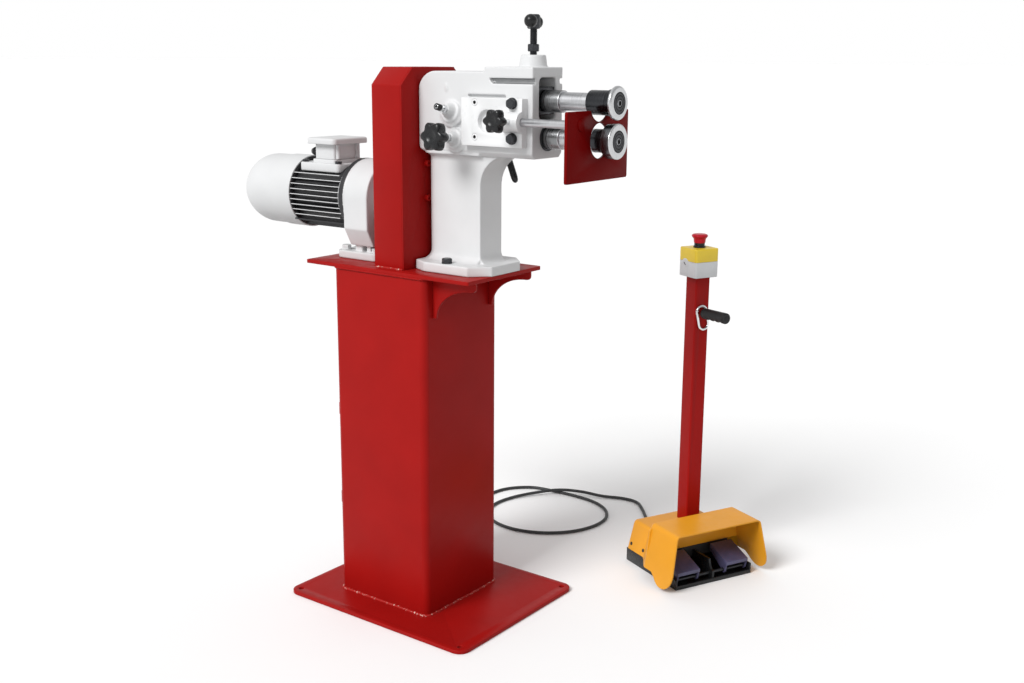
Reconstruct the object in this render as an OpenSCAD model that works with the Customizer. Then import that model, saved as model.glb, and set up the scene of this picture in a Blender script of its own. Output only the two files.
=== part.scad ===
// Motor driven bead roller on a pedestal, with a loose foot pedal console
// Millimetres. +X runs along the roll shafts to the rolls, +Z is up
// The origin is the middle of the floor bolt holes, on the floor

/* [Base and column] */
// Length of the base plate along X
base_l = 500; // [470:1:560]
// Width of the base plate along Y
base_w = 405; // [380:1:440]
// Thickness of the base plate
base_t = 8; // [6:1:12]
// Corner radius of the base plate
base_corner_r = 25; // [10:1:40]
// Distance from a floor bolt hole to the plate's edges
floor_hole_margin = 20; // [16:1:28]
// Diameter of the floor bolt holes
floor_hole_d = 12; // [8:1:16]
// Length of the column along X
column_l = 254; // [240:1:270]
// Width of the column along Y
column_w = 243; // [236:1:256]
// Height of the column
column_h = 733; // [650:1:820]
// Sheet thickness of the column
column_t = 3; // [2:0.5:4]
// Outer bend radius of the column
column_bend_r = 15; // [8:1:20]
// Place of the column's middle along X
column_x = -37; // [-42:1:-32]
// Length of the deck plate along X
deck_l = 447; // [440:1:470]
// Width of the deck plate along Y
deck_w = 246; // [240:1:270]
// Thickness of the deck plate
deck_t = 8; // [6:1:12]
// Place of the deck plate's middle along X
deck_x = -19.5; // [-22:0.5:-17]
// Drop of the curved gussets below the deck
gusset_drop = 83; // [60:1:100]
// Thickness of the gussets
gusset_t = 6; // [4:1:10]

/* [Column door] */
// Height of the door's lower edge above the base plate
door_sill = 141; // [120:1:160]
// Height of the door
door_h = 367; // [330:1:380]
// Width of the door
door_w = 180; // [170:1:190]
// Depth of the door pan
door_d = 18; // [14:1:24]
// Radius of the hinge barrels
hinge_r = 7; // [6:0.5:8]
// Length of each hinge barrel
hinge_h = 26; // [20:1:34]

/* [Drive] */
// Height of the motor axis above the deck
motor_axis_h = 131; // [125:1:140]
// Module of the spur gears
gear_module = 2.5; // [2.5:0.1:2.6]
// Teeth of the drive gear and of both shaft gears
gear_teeth = 28; // [28:2:30]
// Teeth of the idler gear
idler_teeth = 30; // [28:2:32]
// Face width of the gears
gear_w = 26; // [20:1:28]
// Radius of the gearbox casing and motor
motor_r = 80; // [74:1:84]
// Length of the gearbox casing
gearbox_l = 67; // [60:1:72]
// Length of the finned motor frame
motor_l = 165; // [150:1:175]
// Length of the fan cowl
cowl_l = 189; // [175:1:205]
// Depth of the terminal box lid along X
terminal_l = 87; // [76:1:90]
// Width of the terminal box lid along Y
terminal_w = 109; // [95:1:115]
// Number of cooling fins on each side of the motor frame
fin_count = 10; // [8:1:12]

/* [Gear cover] */
// Depth of the gear cover along X
cover_l = 81; // [78:1:90]
// Width of the gear cover along Y
cover_w = 200; // [190:1:220]
// Rise of the gear cover above the upper shaft's axis
cover_crown = 61; // [48:1:74]
// Corner chamfer of the gear cover
cover_chamfer = 35; // [20:1:40]
// Sheet thickness of the gear cover
cover_t = 3; // [2:0.5:4]

/* [Head] */
// Length of the head's arm along X
arm_l = 302; // [290:1:330]
// Width of the head's arm
arm_w = 100; // [96:1:110]
// Width of the head's neck
neck_w = 72; // [60:1:84]
// Place of the neck's front face along X
neck_x = 166; // [160:1:180]
// Thickness of the head's foot flange
foot_t = 20; // [16:1:26]
// Width of the head's foot flange
foot_w = 166; // [160:1:180]
// Distance from the arm's front face back to the pressure screw
screw_back = 35; // [30:1:42]
// Diameter of the pressure screw
screw_d = 14; // [12:1:16]
// Lift of the upper bearing block at the screw
screw_lift = 9.6; // [8:0.1:10]
// Pitch of the pressure screw
screw_pitch = 3; // [2:0.5:4]

/* [Shafts and rolls] */
// Diameter of both roll shafts
shaft_d = 35; // [32:1:36]
// Distance from the arm's front face to the roll end faces
roll_reach = 161; // [150:1:180]
// Diameter of the upper roll's bead flange
upper_roll_d = 63; // [58:1:64]
// Diameter of the lower roll's drum
lower_roll_d = 66; // [60:1:68]
// Length of the upper bead flange
upper_roll_l = 14; // [13:1:18]
// Length of the lower drum
lower_roll_l = 22; // [16:1:23]
// Diameter of the stop rod
rod_d = 16; // [14:1:18]
// Width of the fence plate along Y
fence_w = 209; // [190:1:220]
// Height of the fence plate
fence_h = 130; // [120:1:140]
// Thickness of the fence plate
fence_t = 6; // [4:1:8]

/* [Pedal console] */
// Length of the pedal base from back to front
pedal_base_l = 202; // [195:1:215]
// Width of the pedal base
pedal_base_w = 215; // [210:1:225]
// Height of the pedal base's side walls
pedal_base_h = 31; // [28:1:34]
// Height of the guard's roof
guard_h = 135; // [130:1:145]
// Width of the guard's roof at the front
guard_w = 236; // [226:1:240]
// Width of one pedal
pedal_w = 62; // [54:1:62]
// Width of the square post
post_w = 39; // [36:1:40]
// Height of the post's top above the floor
post_h = 691; // [640:1:760]
// Width of the stop button's box
stop_box_w = 64; // [58:1:76]
// Height of the stop button's box
stop_box_h = 66; // [60:1:80]
// Diameter of the mushroom button
mushroom_d = 37; // [28:1:44]
// Length of the hand grip
grip_l = 80; // [70:1:110]
// Diameter of the hand grip
grip_d = 25; // [22:1:28]

/* [Hidden] */

// Resolution and clearances
fine_fn = 64;
round_fn = 40;
fit = 0.05;
gap = 0.3;
cut = 1;

// Heights that the pieces share
deck_z = base_t + column_h;
deck_top = deck_z + deck_t;
motor_z = deck_top + motor_axis_h;
gear_step = gear_module * gear_teeth;
idler_step = gear_module * (gear_teeth + idler_teeth) / 2;
idler_z = motor_z + idler_step;
lower_z = idler_z + idler_step;
upper_z = lower_z + gear_step;
cover_h = upper_z + cover_crown - deck_top;

// Column walls and gussets
column_x0 = column_x - column_l / 2;
column_x1 = column_x + column_l / 2;
gusset_y = 92;
gusset_reach = 110;
gusset_lip = 19;
gusset_nose_r = 9;
deck_corner_r = 4;
frame_lip = 15;
cable_slot_l = 40;

// Door pan, hinges and latch
door_t = 2;
door_gap = 0.5;
door_z0 = base_t + door_sill;
hinge_x = column_x0 - hinge_r;
hinge_y = -door_w / 2 - hinge_r - gap;
hinge_pin_d = 7;
hinge_web = 5;
hinge_inset = 55;
latch_y = 62;
latch_d = 16;
latch_head_d = 26;
latch_head_t = 6;
latch_cam_l = 22;
latch_cam_w = 12;
latch_cam_t = 3;

// Switchgear inside the column
panel_w = 180;
panel_h = 420;
panel_t = 2;
panel_z0 = base_t + 150;
panel_post_l = 18;
panel_post_d = 10;
device_d = 60;

// Cord glands
gland_r = 11;
gland_l = 18;
gland_bore_r = 3.8;
gland_nut_r = 13.5;
gland_nut_t = 6;
cord_gland_x = -90;
cord_gland_z = 85;
pedal_gland_b = 30;
pedal_gland_z = 16;

// Gear train
pressure_angle = 20;
backlash = 0.3;
flank_steps = 4;
gear_x1 = -22.5;
gear_x0 = gear_x1 - gear_w;
gear_bore_d = 25;
idler_pin_d = 18;
collar_d = 26;

// Gear cover and the frame plate inside it
cover_x0 = -64;
cover_x1 = cover_x0 + cover_l;
frame_t = 8;
frame_x0 = cover_x0 + cover_t + gap;
frame_x1 = frame_x0 + frame_t;
frame_w = 84;
frame_foot_l = 56;
frame_foot_w = 128;
frame_top = 36;
frame_bolt_x = -22;
frame_bolt_y = 54;
journal_d = 20;
bush_wall = 5;
swivel_r = 17;
output_d = 24;
cover_lug_y = 26;
cover_lug_drop = 62;
cover_lug_pitch = 71;

// Gearbox, motor and terminal box along X
gearbox_x1 = -103;
gearbox_x0 = gearbox_x1 - gearbox_l;
gearbox_wall = 7;
gearbox_spigot_r = 55;
gearbox_spigot_l = 34;
gearbox_waist_w = 60;
gearbox_waist_h = 62;
gearbox_foot_x0 = -214;
gearbox_foot_x1 = -92;
gearbox_foot_w = 124;
gearbox_foot_t = 17;
gearbox_rib_w = 20;
foot_lug_r = 17;
flange_t = 14;
flange_r = 82;
motor_core_r = 66;
stator_bore_r = 32;
fin_t = 3;
motor_x1 = gearbox_x0 - flange_t;
motor_x0 = motor_x1 - motor_l;
fan_space = 30;
cowl_x1 = motor_x0 + 12;
cowl_x0 = cowl_x1 - cowl_l;
cowl_t = 3;
cowl_dome_l = 130;
cowl_seam = 2;
plinth_l = 64;
plinth_w = 84;
terminal_x1 = -218;
terminal_lid_t = 13;
terminal_top = 123;
terminal_base = 77;
terminal_wall = 3;
terminal_inset = 14;
rotor_d = 50;
rotor_l = 60;
rotor_shaft_d = 19;
fan_r = 60;
fan_t = 14;
fan_blades = 6;

// Head casting
arm_rear_x = cover_x1;
screw_x = arm_l - screw_back;
spigot_l = 17;
spigot_w = 84;
spigot_rise = 20;
spigot_drop = 28;
spigot_x = arm_rear_x - spigot_l;
arm_drop = 39;
arm_rise = 54;
arm_rear_top_r = 45;
arm_rear_low_r = 25;
arm_plan_r = 6;
arm_edge = 9;
cap_back = 116;
cap_x0 = arm_l - cap_back;
cap_t = 9;
boss_h = 23;
boss_r_low = 27.5;
boss_r_top = 24;
groove_h = 10;
groove_d = 9;
groove_back = 106;
groove_x0 = arm_l - groove_back;
groove_drop = 22;
slot_line_x0 = 143;
slot_line_back = 63;
slot_line_x1 = arm_l - slot_line_back;
slot_line_h = 5;
slot_line_d = 8;
slot_w = 55;
slot_rise = 44;
slot_drop = 35;
slot_back = 66;
slot_x0 = arm_l - slot_back;
slot_r = 10;
channel_w = 44;
channel_rise = 31;
channel_drop = 26;
lower_bush_d = 45;
lower_bush_l = 36;
neck_x0 = 19;
neck_fillet_r = 62;
neck_foot_r = 18;
foot_x0 = 20;
foot_x1 = 205;
foot_cut = 36;
foot_bolt_x = 105;
foot_bolt_y = 67;
foot_screw_x1 = 52;
foot_screw_x2 = 138;

// Bolts and screws
bolt_d = 12;
bolt_head_d = 21;
bolt_head_h = 8;
washer_d = 22;
washer_t = 2.5;
cap_screw_d = 8;
cap_head_d = 13;
cap_head_h = 8;
screw_embed = 18;

// Side plate on the head
side_x0 = 143;
side_back = 12;
side_x1 = arm_l - side_back;
side_t = 17;
side_low = 17;
side_high = 75;
side_bolt_back = 34;
side_bolt_x = arm_l - side_bolt_back;
side_screw_x = 176;
side_edge = 10;
rod_y = -66;
rod_z = lower_z + 31;
rod_boss_r = 20;
rod_boss_l = 42;
pocket_x = 206;
pocket_r = 22;
pocket_d = 10;
rod_x0 = 234;
fence_y0 = -110;
fence_drop = 74;
fence_hole_r = 33;
fence_notch_r = 35;
fence_corner_r = 4;
rod_nose_l = 3;
rod_nose_r = 11;

// Star knobs, guide screw and lever on the head
small_knob_back = 32;
small_knob_x = arm_l - small_knob_back;
small_knob_tilt = 4;
small_knob_r = 24;
small_knob_l = 59;
large_knob_x = 115;
large_knob_up = -7;
large_knob_tilt = 6;
large_knob_r = 31.5;
large_knob_l = 65;
small_knob_h = 20;
large_knob_h = 25;
large_stud_d = 12;
knob_hub_r = 11;
knob_lobes = 6;
knob_lobe_share = 0.28;
knob_core_share = 0.76;
stud_d = 10;
stud_boss_r = 19;
stud_boss_l = 22;
guide_x = 106;
guide_up = 45;
guide_tilt = 14;
guide_l = 50;
guide_d = 10;
guide_nut_r = 9;
guide_nut_t = 8;
guide_boss_r = 21;
guide_boss_l = 24;
lever_x = 143;
lever_hub_r = 16;
lever_hub_l = 22;
lever_l = 106;
lever_d = 14;
lever_tilt = 22;
lever_pin_d = 12;
lever_pin_embed = 16;

// Pressure screw, pad and tommy bar
block_w = 54;
block_half = 19;
block_back = 4;
block_x0 = screw_x - block_half;
block_x1 = arm_l - block_back;
block_drop = 25;
block_rise = 26;
block_bush_r = 20;
pad_r = 9;
pad_t = 6;
pad_tip_r = 4;
pad_gap = 0.5;
nut_gap = 6;
nut_h = 14;
nut_r = 12;
hub_r = 12.4;
hub_h = 27;
screw_neck_h = 28;
tommy_d = 10;
tommy_reach = 49;
tommy_ball_r = 12.5;
tommy_yaw = 119;

// Rolls on the shafts
nose_d = 22;
upper_shank_d = 46;
lower_shank_d = 44;
roll_collar_d = 50;
roll_collar_l = 6;
roll_cap_d = 40;
roll_cap_t = 4;
roll_cap_inset = 3;
roll_socket_r = 5;
shaft_collar_d = 42;
collar_gap = 1;
collar_reach = 38;
roll_l = 61;
fence_reach = 14;
lower_collar_x0 = arm_l + washer_t + pad_gap;
upper_collar_x0 = block_x1 + collar_gap;
shaft_collar_x1 = arm_l + collar_reach;
roll_end_x = arm_l + roll_reach;
roll_x0 = roll_end_x - roll_l;
fence_x = roll_x0 + fence_reach;

// Pedal console in its own axes, a to the front and b across
pedal_at_x = 393;
pedal_at_y = 473;
pedal_yaw = -25;
pedal_wall = 4;
pedal_lip_h = 9;
pedal_floor_t = 4;
pedal_front_w = 60;
pedal_pin_a = 84;
pedal_pin_z = 17;
pedal_pin_d = 8;
pedal_inner_a = 32;
pedal_front_a = 97;
pedal_low_z = 38;
pedal_high_z = 62;
pedal_t = 4;
pedal_skirt_t = 4;
pedal_gap = 38;
pedal_mid_b = 2;
web_t = 6;
web_top = 50;
web_a0 = 10;
guard_t = 3.5;
guard_rear_h = 100;
guard_rear_top_w = 180;
guard_step_a0 = -32;
guard_step_a1 = 16;
guard_front_a = 113;
guard_lean = 10.7;
lobe_rear_a = 32;
lobe_low_a = 86;
lobe_r = 36;
lobe_z = 8;
post_a = -45;
post_b = 31;
post_t = 3;
post_foot_t = 4;
switch_l = 40;
switch_w = 30;
switch_h = 32;
switch_a = 52;
plunger_h = 8;
lid_h = 30;
box_t = 3;
box_edge_r = 5;
collar_r = 14;
collar_h = 4;
mushroom_neck_r = 11;
mushroom_h = 22;
push_gap = 5;
button_stem_r = 6;
grip_z = 607;
grip_tilt = 2;
grip_stub_d = 12;
grip_notches = 4;
grip_notch_r = 14;
grip_notch_depth = 2.5;
ring_w = 32;
ring_h = 62;
ring_drop = 10;
ring_wire_r = 3;

// Route of the pedal cord, from the column gland to the pedal base
cable_r = 4;
cable_sides = 8;
cable_step = 19;
cable_points = [
    [-90, 174, 78], [-94, 206, 46], [-104, 240, 12], [-124, 285, 4.1],
    [-180, 360, 4.1], [-240, 455, 4.1], [-268, 540, 4.1], [-262, 620, 4.1], [-215, 676, 4.1],
    [-150, 692, 4.1], [-75, 696, 4.1], [-10, 688, 4.1], [45, 658, 4.1], [80, 605, 4.1],
    [84, 540, 4.1], [58, 474, 4.1], [5, 424, 4.1], [-65, 400, 4.1], [-135, 410, 4.1],
    [-190, 452, 4.1], [-213, 515, 4.1], [-204, 582, 4.8], [-172, 640, 8], [-125, 688, 13],
    [-70, 716, 12], [-15, 736, 6], [40, 760, 4.1], [85, 756, 4.1], [125, 718, 4.1],
    [160, 676, 4.4], [205, 628, 7], [248, 584, 12]];

function lerp(a, b, t) = a + (b - a) * t;
function mid_spline(p0, p1, p2, p3, t) =
    0.5 * ((2 * p1) + (p2 - p0) * t + (2 * p0 - 5 * p1 + 4 * p2 - p3) * t * t
    + (3 * p1 - p0 - 3 * p2 + p3) * t * t * t);
function involute(angle) = tan(angle) * 180 / PI - angle;
function unit(v) = v / norm(v);

// Pedal gland's mouth in the row frame, where the cord ends
pedal_mouth_a = -pedal_base_l / 2 - gland_l - gland_nut_t;
cable_end = [pedal_at_x + pedal_mouth_a * cos(pedal_yaw) - pedal_gland_b * sin(pedal_yaw),
    pedal_at_y + pedal_mouth_a * sin(pedal_yaw) + pedal_gland_b * cos(pedal_yaw), pedal_gland_z];
cable_start = [cord_gland_x, column_w / 2 + gland_l + gland_nut_t, cord_gland_z];
cable_run = concat([cable_start], cable_points, [cable_end]);

module rounded_outline(l, w, r) {
    square([l - 2 * r, w], center = true);
    square([l, w - 2 * r], center = true);
    for (sx = [-1, 1], sy = [-1, 1])
        translate([sx * (l / 2 - r), sy * (w / 2 - r)]) circle(r, $fn = fine_fn);
}

module along_x(x0, x1, d, fn = fine_fn) {
    translate([x0, 0, 0]) rotate([0, 90, 0]) cylinder(h = x1 - x0, d = d, $fn = fn);
}

module at_pedal() {
    translate([pedal_at_x, pedal_at_y, 0]) rotate([0, 0, pedal_yaw]) children();
}

// Outline in the YZ plane, pushed along X
module push_x(x0, x1) {
    translate([x0, 0, 0]) rotate([90, 0, 90]) linear_extrude(x1 - x0) children();
}

// Outline in the XZ plane, pushed both ways along Y
module push_y(w) {
    rotate([90, 0, 0]) translate([0, 0, -w / 2]) linear_extrude(w) children();
}

module base_plate() {
    color("#a82b22") difference() {
        linear_extrude(base_t) rounded_outline(base_l, base_w, base_corner_r);
        for (sx = [-1, 1], sy = [-1, 1])
            translate([sx * (base_l / 2 - floor_hole_margin), sy * (base_w / 2 - floor_hole_margin), -cut])
                cylinder(h = base_t + 2 * cut, d = floor_hole_d, $fn = round_fn);
    }
}

module column() {
    color("#a82b22") difference() {
        translate([column_x, 0, base_t]) linear_extrude(column_h)
            rounded_outline(column_l, column_w, column_bend_r);
        translate([column_x, 0, base_t - cut]) linear_extrude(column_h + 2 * cut)
            rounded_outline(column_l - 2 * column_t, column_w - 2 * column_t, column_bend_r - column_t);
        translate([column_x0 - cut, -door_w / 2 + frame_lip, door_z0 + frame_lip])
            cube([column_t + 2 * cut, door_w - 2 * frame_lip, door_h - 2 * frame_lip]);
        translate([cord_gland_x, column_w / 2 + cut, cord_gland_z]) rotate([90, 0, 0])
            cylinder(h = column_t + 2 * cut, r = gland_r + fit, $fn = round_fn);
    }
}

module gusset_outline() {
    difference() {
        union() {
            translate([0, gusset_nose_r - gusset_lip]) square([gusset_reach, gusset_lip - gusset_nose_r]);
            translate([0, -gusset_drop]) square([gusset_reach - gusset_nose_r, gusset_drop]);
            translate([gusset_reach - gusset_nose_r, gusset_nose_r - gusset_lip]) circle(gusset_nose_r, $fn = round_fn);
        }
        translate([gusset_reach - gusset_nose_r, -gusset_drop])
            scale([gusset_reach - 2 * gusset_nose_r, gusset_drop - gusset_lip, 1]) circle(1, $fn = fine_fn);
    }
}

module deck_plate() {
    color("#a82b22") {
        translate([deck_x, 0, deck_z]) linear_extrude(deck_t) difference() {
            rounded_outline(deck_l, deck_w, deck_corner_r);
            for (x = [foot_screw_x1, foot_screw_x2]) translate([x - deck_x, 0]) circle(d = bolt_d + 2 * fit, $fn = round_fn);
            for (sy = [-1, 1]) translate([foot_bolt_x - deck_x, sy * foot_bolt_y]) circle(d = bolt_d + 2 * fit, $fn = round_fn);
            for (x = gearbox_lugs_x(), sy = [-1, 1])
                translate([x - deck_x, sy * gearbox_lug_y]) circle(d = bolt_d + 2 * fit, $fn = round_fn);
            translate([column_x0 + cable_slot_l - deck_x, 0]) circle(d = gland_r, $fn = round_fn);
        }
        for (sy = [-1, 1]) translate([column_x1, sy * gusset_y, deck_z]) push_y(gusset_t) gusset_outline();
    }
}

function gearbox_lugs_x() = [gearbox_foot_x0 + foot_lug_r, gearbox_foot_x1 - foot_lug_r];
gearbox_lug_y = gearbox_foot_w / 2 - foot_lug_r;

module hinge_barrel(z0, h) {
    translate([hinge_x, hinge_y, z0]) cylinder(h = h, r = hinge_r, $fn = round_fn);
}

module door_hinges() {
    color("#a82b22") for (z = [door_z0 + hinge_inset, door_z0 + door_h - hinge_inset - 2 * hinge_h]) {
        hinge_barrel(z, hinge_h);
        translate([hinge_x, hinge_y - hinge_web / 2, z]) cube([hinge_r, hinge_web, hinge_h]);
        translate([hinge_x, hinge_y, z]) cylinder(h = 2 * hinge_h, d = hinge_pin_d, $fn = round_fn);
    }
}

module rear_door() {
    color("#d9dadc") {
        difference() {
            translate([column_x0 - door_d - door_gap, -door_w / 2, door_z0]) cube([door_d, door_w, door_h]);
            translate([column_x0 - door_d - door_gap + door_t, -door_w / 2 + door_t, door_z0 + door_t])
                cube([door_d, door_w - 2 * door_t, door_h - 2 * door_t]);
            translate([column_x0 - door_d - door_gap - cut, latch_y, door_z0 + door_h / 2])
                along_x(0, door_t + 2 * cut, latch_d + 2 * fit, round_fn);
        }
        for (z = [door_z0 + hinge_inset, door_z0 + door_h - hinge_inset - 2 * hinge_h])
            difference() {
                union() {
                    hinge_barrel(z + hinge_h + gap, hinge_h - gap);
                    translate([hinge_x - hinge_web, hinge_y, z + hinge_h + gap])
                        cube([hinge_web, hinge_r + gap + door_t, hinge_h - gap]);
                }
                translate([hinge_x, hinge_y, z]) cylinder(h = 2 * hinge_h + cut, d = hinge_pin_d + 2 * fit, $fn = round_fn);
            }
    }
}

module door_latch() {
    x0 = column_x0 - door_d - door_gap;
    cam_x = column_x0 + column_t + door_gap;
    color("#2b2c2e") translate([0, latch_y, door_z0 + door_h / 2]) {
        along_x(x0 - latch_head_t, x0 - gap / 3, latch_head_d, round_fn);
        along_x(x0 - latch_head_t, cam_x, latch_d, round_fn);
        translate([cam_x, -latch_cam_w / 2, -latch_cam_w / 2]) cube([latch_cam_t, latch_cam_w, latch_cam_l + latch_cam_w / 2]);
    }
}

module switchgear_panel() {
    x1 = column_x1 - column_t - panel_post_l;
    color("#c8c9c6") {
        translate([x1 - panel_t, -panel_w / 2, panel_z0]) cube([panel_t, panel_w, panel_h]);
        for (sy = [-1, 1], z = [panel_z0 + panel_post_d, panel_z0 + panel_h - panel_post_d])
            translate([0, sy * (panel_w / 2 - panel_post_d), z]) along_x(x1, x1 + panel_post_l, panel_post_d, round_fn);
        // Contactors, transformer and terminal strip on the panel
        for (y = [-1, 0, 1]) translate([x1 - panel_t - device_d, y * device_d - device_d * 0.4, panel_z0 + panel_h * 0.62])
            cube([device_d, device_d * 0.8, device_d * 1.3]);
        translate([x1 - panel_t - device_d, -device_d * 0.7, panel_z0 + panel_h * 0.22])
            cube([device_d, device_d * 1.4, device_d * 1.2]);
        translate([x1 - panel_t - device_d / 2, -panel_w * 0.45, panel_z0 + panel_h * 0.06])
            cube([device_d / 2, panel_w * 0.9, device_d * 0.6]);
    }
}

// A gland along +Z with its hexagon and a bore for the cord
module gland(embed) {
    difference() {
        union() {
            translate([0, 0, -embed]) cylinder(h = embed + gland_nut_t, r = gland_r - gap, $fn = round_fn);
            cylinder(h = gland_nut_t, r = gland_nut_r, $fn = 6);
            translate([0, 0, gland_nut_t]) cylinder(h = gland_l, r1 = gland_r - gap, r2 = gland_r * 0.6, $fn = round_fn);
        }
        translate([0, 0, -embed - cut]) cylinder(h = embed + cut + gland_nut_t + gland_l - pad_gap, r = gland_bore_r, $fn = round_fn);
    }
}

module cable_glands() {
    color("#26272a") {
        translate([cord_gland_x, column_w / 2, cord_gland_z]) rotate([-90, 0, 0]) gland(column_t);
        at_pedal() translate([-pedal_base_l / 2, pedal_gland_b, pedal_gland_z]) rotate([0, -90, 0]) gland(pedal_wall);
        for (y = [-terminal_w * 0.2, terminal_w * 0.2])
            translate([terminal_x1 - terminal_l + terminal_inset, y, motor_z + terminal_base + gland_nut_r + 2 * gap])
                rotate([0, -90, 0]) gland(terminal_wall);
    }
}

module cover_outline(inset) {
    y = cover_w / 2 - inset;
    z = cover_h - inset;
    c = cover_chamfer - inset * 0.586;
    polygon([[-y, 0], [y, 0], [y, z - c], [y - c, z], [-y + c, z], [-y, z - c]]);
}

module transmission_cover() {
    color("#a82b22") difference() {
        translate([0, 0, deck_top]) push_x(cover_x0, cover_x1 - cover_t) cover_outline(0);
        translate([0, 0, deck_top - cut]) push_x(cover_x0 + cover_t, cover_x1) translate([0, 0]) cover_outline(cover_t);
        translate([0, 0, motor_z]) along_x(cover_x0 - cut, cover_x1, output_d + 2 * bush_wall);
    }
}

module head_window() {
    z0 = lower_z - spigot_drop - pad_gap;
    translate([-spigot_w / 2 - pad_gap, z0 - deck_top]) square([spigot_w + 2 * pad_gap, upper_z + spigot_rise + pad_gap - z0]);
}

module cover_screw_places() {
    for (sy = [-1, 1], drop = [cover_lug_drop, cover_lug_drop + cover_lug_pitch])
        translate([0, sy * cover_lug_y, lower_z - drop]) children();
}

module cover_plate() {
    color("#a82b22") difference() {
        translate([0, 0, deck_top]) push_x(cover_x1 - cover_t, cover_x1) difference() {
            cover_outline(0);
            head_window();
        }
        cover_screw_places() along_x(cover_x0, cover_x1 + cut, cap_screw_d + 2 * fit, round_fn);
    }
}

module gear_frame() {
    color("#8d9094") {
        difference() {
            union() {
                translate([frame_x0, -frame_w / 2, deck_top]) cube([frame_t, frame_w, upper_z + frame_top - deck_top]);
                translate([frame_x0, -frame_foot_w / 2, deck_top]) cube([frame_foot_l, frame_foot_w, frame_t]);
            }
            translate([0, 0, motor_z]) along_x(frame_x0 - cut, frame_x1 + cut, output_d + 2 * bush_wall + 2 * fit);
            translate([0, 0, lower_z]) along_x(frame_x0 - cut, frame_x1 + cut, journal_d + 2 * bush_wall + 2 * fit);
            translate([0, 0, upper_z]) along_x(frame_x0 - cut, frame_x1 + cut, 2 * swivel_r + 2 * fit);
            for (sy = [-1, 1]) translate([frame_bolt_x, sy * frame_bolt_y, deck_top - cut])
                cylinder(h = frame_t + 2 * cut, d = cap_screw_d + 2 * fit, $fn = round_fn);
        }
        translate([0, 0, idler_z]) {
            along_x(frame_x1, gear_x1 + gap, idler_pin_d);
            along_x(frame_x1, gear_x0 - gap, collar_d);
            along_x(gear_x1 + gap, gear_x1 + gap + cover_t, collar_d);
        }
    }
}

module bush(x0, x1, bore, outer, flange_side) {
    difference() {
        union() {
            along_x(x0, x1, outer);
            if (flange_side != 0)
                along_x(flange_side > 0 ? x1 : x0 - washer_t, flange_side > 0 ? x1 + washer_t : x0, outer + bush_wall);
        }
        along_x(x0 - washer_t - cut, x1 + washer_t + cut, bore + 2 * fit);
    }
}

module shaft_bushes() {
    color("#b98a43") {
        translate([0, 0, motor_z]) bush(frame_x0, frame_x1, output_d, output_d + 2 * bush_wall, 0);
        translate([0, 0, lower_z]) {
            bush(frame_x0, frame_x1, journal_d, journal_d + 2 * bush_wall, 0);
            bush(spigot_x, spigot_x + lower_bush_l, shaft_d, lower_bush_d - 2 * fit, 0);
            bush(arm_l - lower_bush_l, arm_l, shaft_d, lower_bush_d - 2 * fit, 1);
        }
    }
}

// Involute gear outline, teeth on the vertical when phase is zero
module gear_outline(teeth, phase) {
    pitch_r = gear_module * teeth / 2;
    base_r = pitch_r * cos(pressure_angle);
    tip_r = pitch_r + gear_module;
    root_r = pitch_r - 1.25 * gear_module;
    start_r = max(base_r, root_r);
    half = 90 / teeth - backlash / 4 / pitch_r * 180 / PI;
    function flank(r) = half + involute(pressure_angle) - involute(acos(min(1, base_r / r)));
    polygon([for (i = [0:teeth - 1]) let (mid = 90 + 360 / teeth * (i + phase))
        each concat(
            [root_r * [cos(mid - 180 / teeth), sin(mid - 180 / teeth)]],
            [root_r * [cos(mid - flank(start_r)), sin(mid - flank(start_r))]],
            [for (k = [0:flank_steps]) let (r = lerp(start_r, tip_r, k / flank_steps))
                r * [cos(mid - flank(r)), sin(mid - flank(r))]],
            [for (k = [flank_steps:-1:0]) let (r = lerp(start_r, tip_r, k / flank_steps))
                r * [cos(mid + flank(r)), sin(mid + flank(r))]],
            [root_r * [cos(mid + flank(start_r)), sin(mid + flank(start_r))]])]);
}

module spur_gear(z, teeth, phase, bore) {
    difference() {
        translate([0, 0, z]) push_x(gear_x0, gear_x1) gear_outline(teeth, phase);
        translate([0, 0, z]) along_x(gear_x0 - cut, gear_x1 + cut, bore);
    }
}

module lower_gear() {
    color("#6f7276") spur_gear(lower_z, gear_teeth, 0, gear_bore_d + 2 * fit);
}

module upper_gear() {
    color("#6f7276") spur_gear(upper_z, gear_teeth, 0.5, gear_bore_d + 2 * fit);
}

module idler_gear() {
    color("#6f7276") spur_gear(idler_z, idler_teeth, 0.5, idler_pin_d + 2 * fit);
}

module drive_gear() {
    color("#6f7276") spur_gear(motor_z, gear_teeth, 0, gear_bore_d + 2 * fit);
}

module gearbox_body() {
    r = motor_r;
    low = -motor_axis_h + gearbox_waist_h / 2;
    translate([0, 0, motor_z]) push_x(gearbox_x0, gearbox_x1) {
        circle(r, $fn = fine_fn);
        translate([-r, -gearbox_waist_h]) square([2 * r, gearbox_waist_h]);
        polygon([[-r, -gearbox_waist_h], [r, -gearbox_waist_h], [gearbox_waist_w, low], [-gearbox_waist_w, low]]);
    }
}

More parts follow.
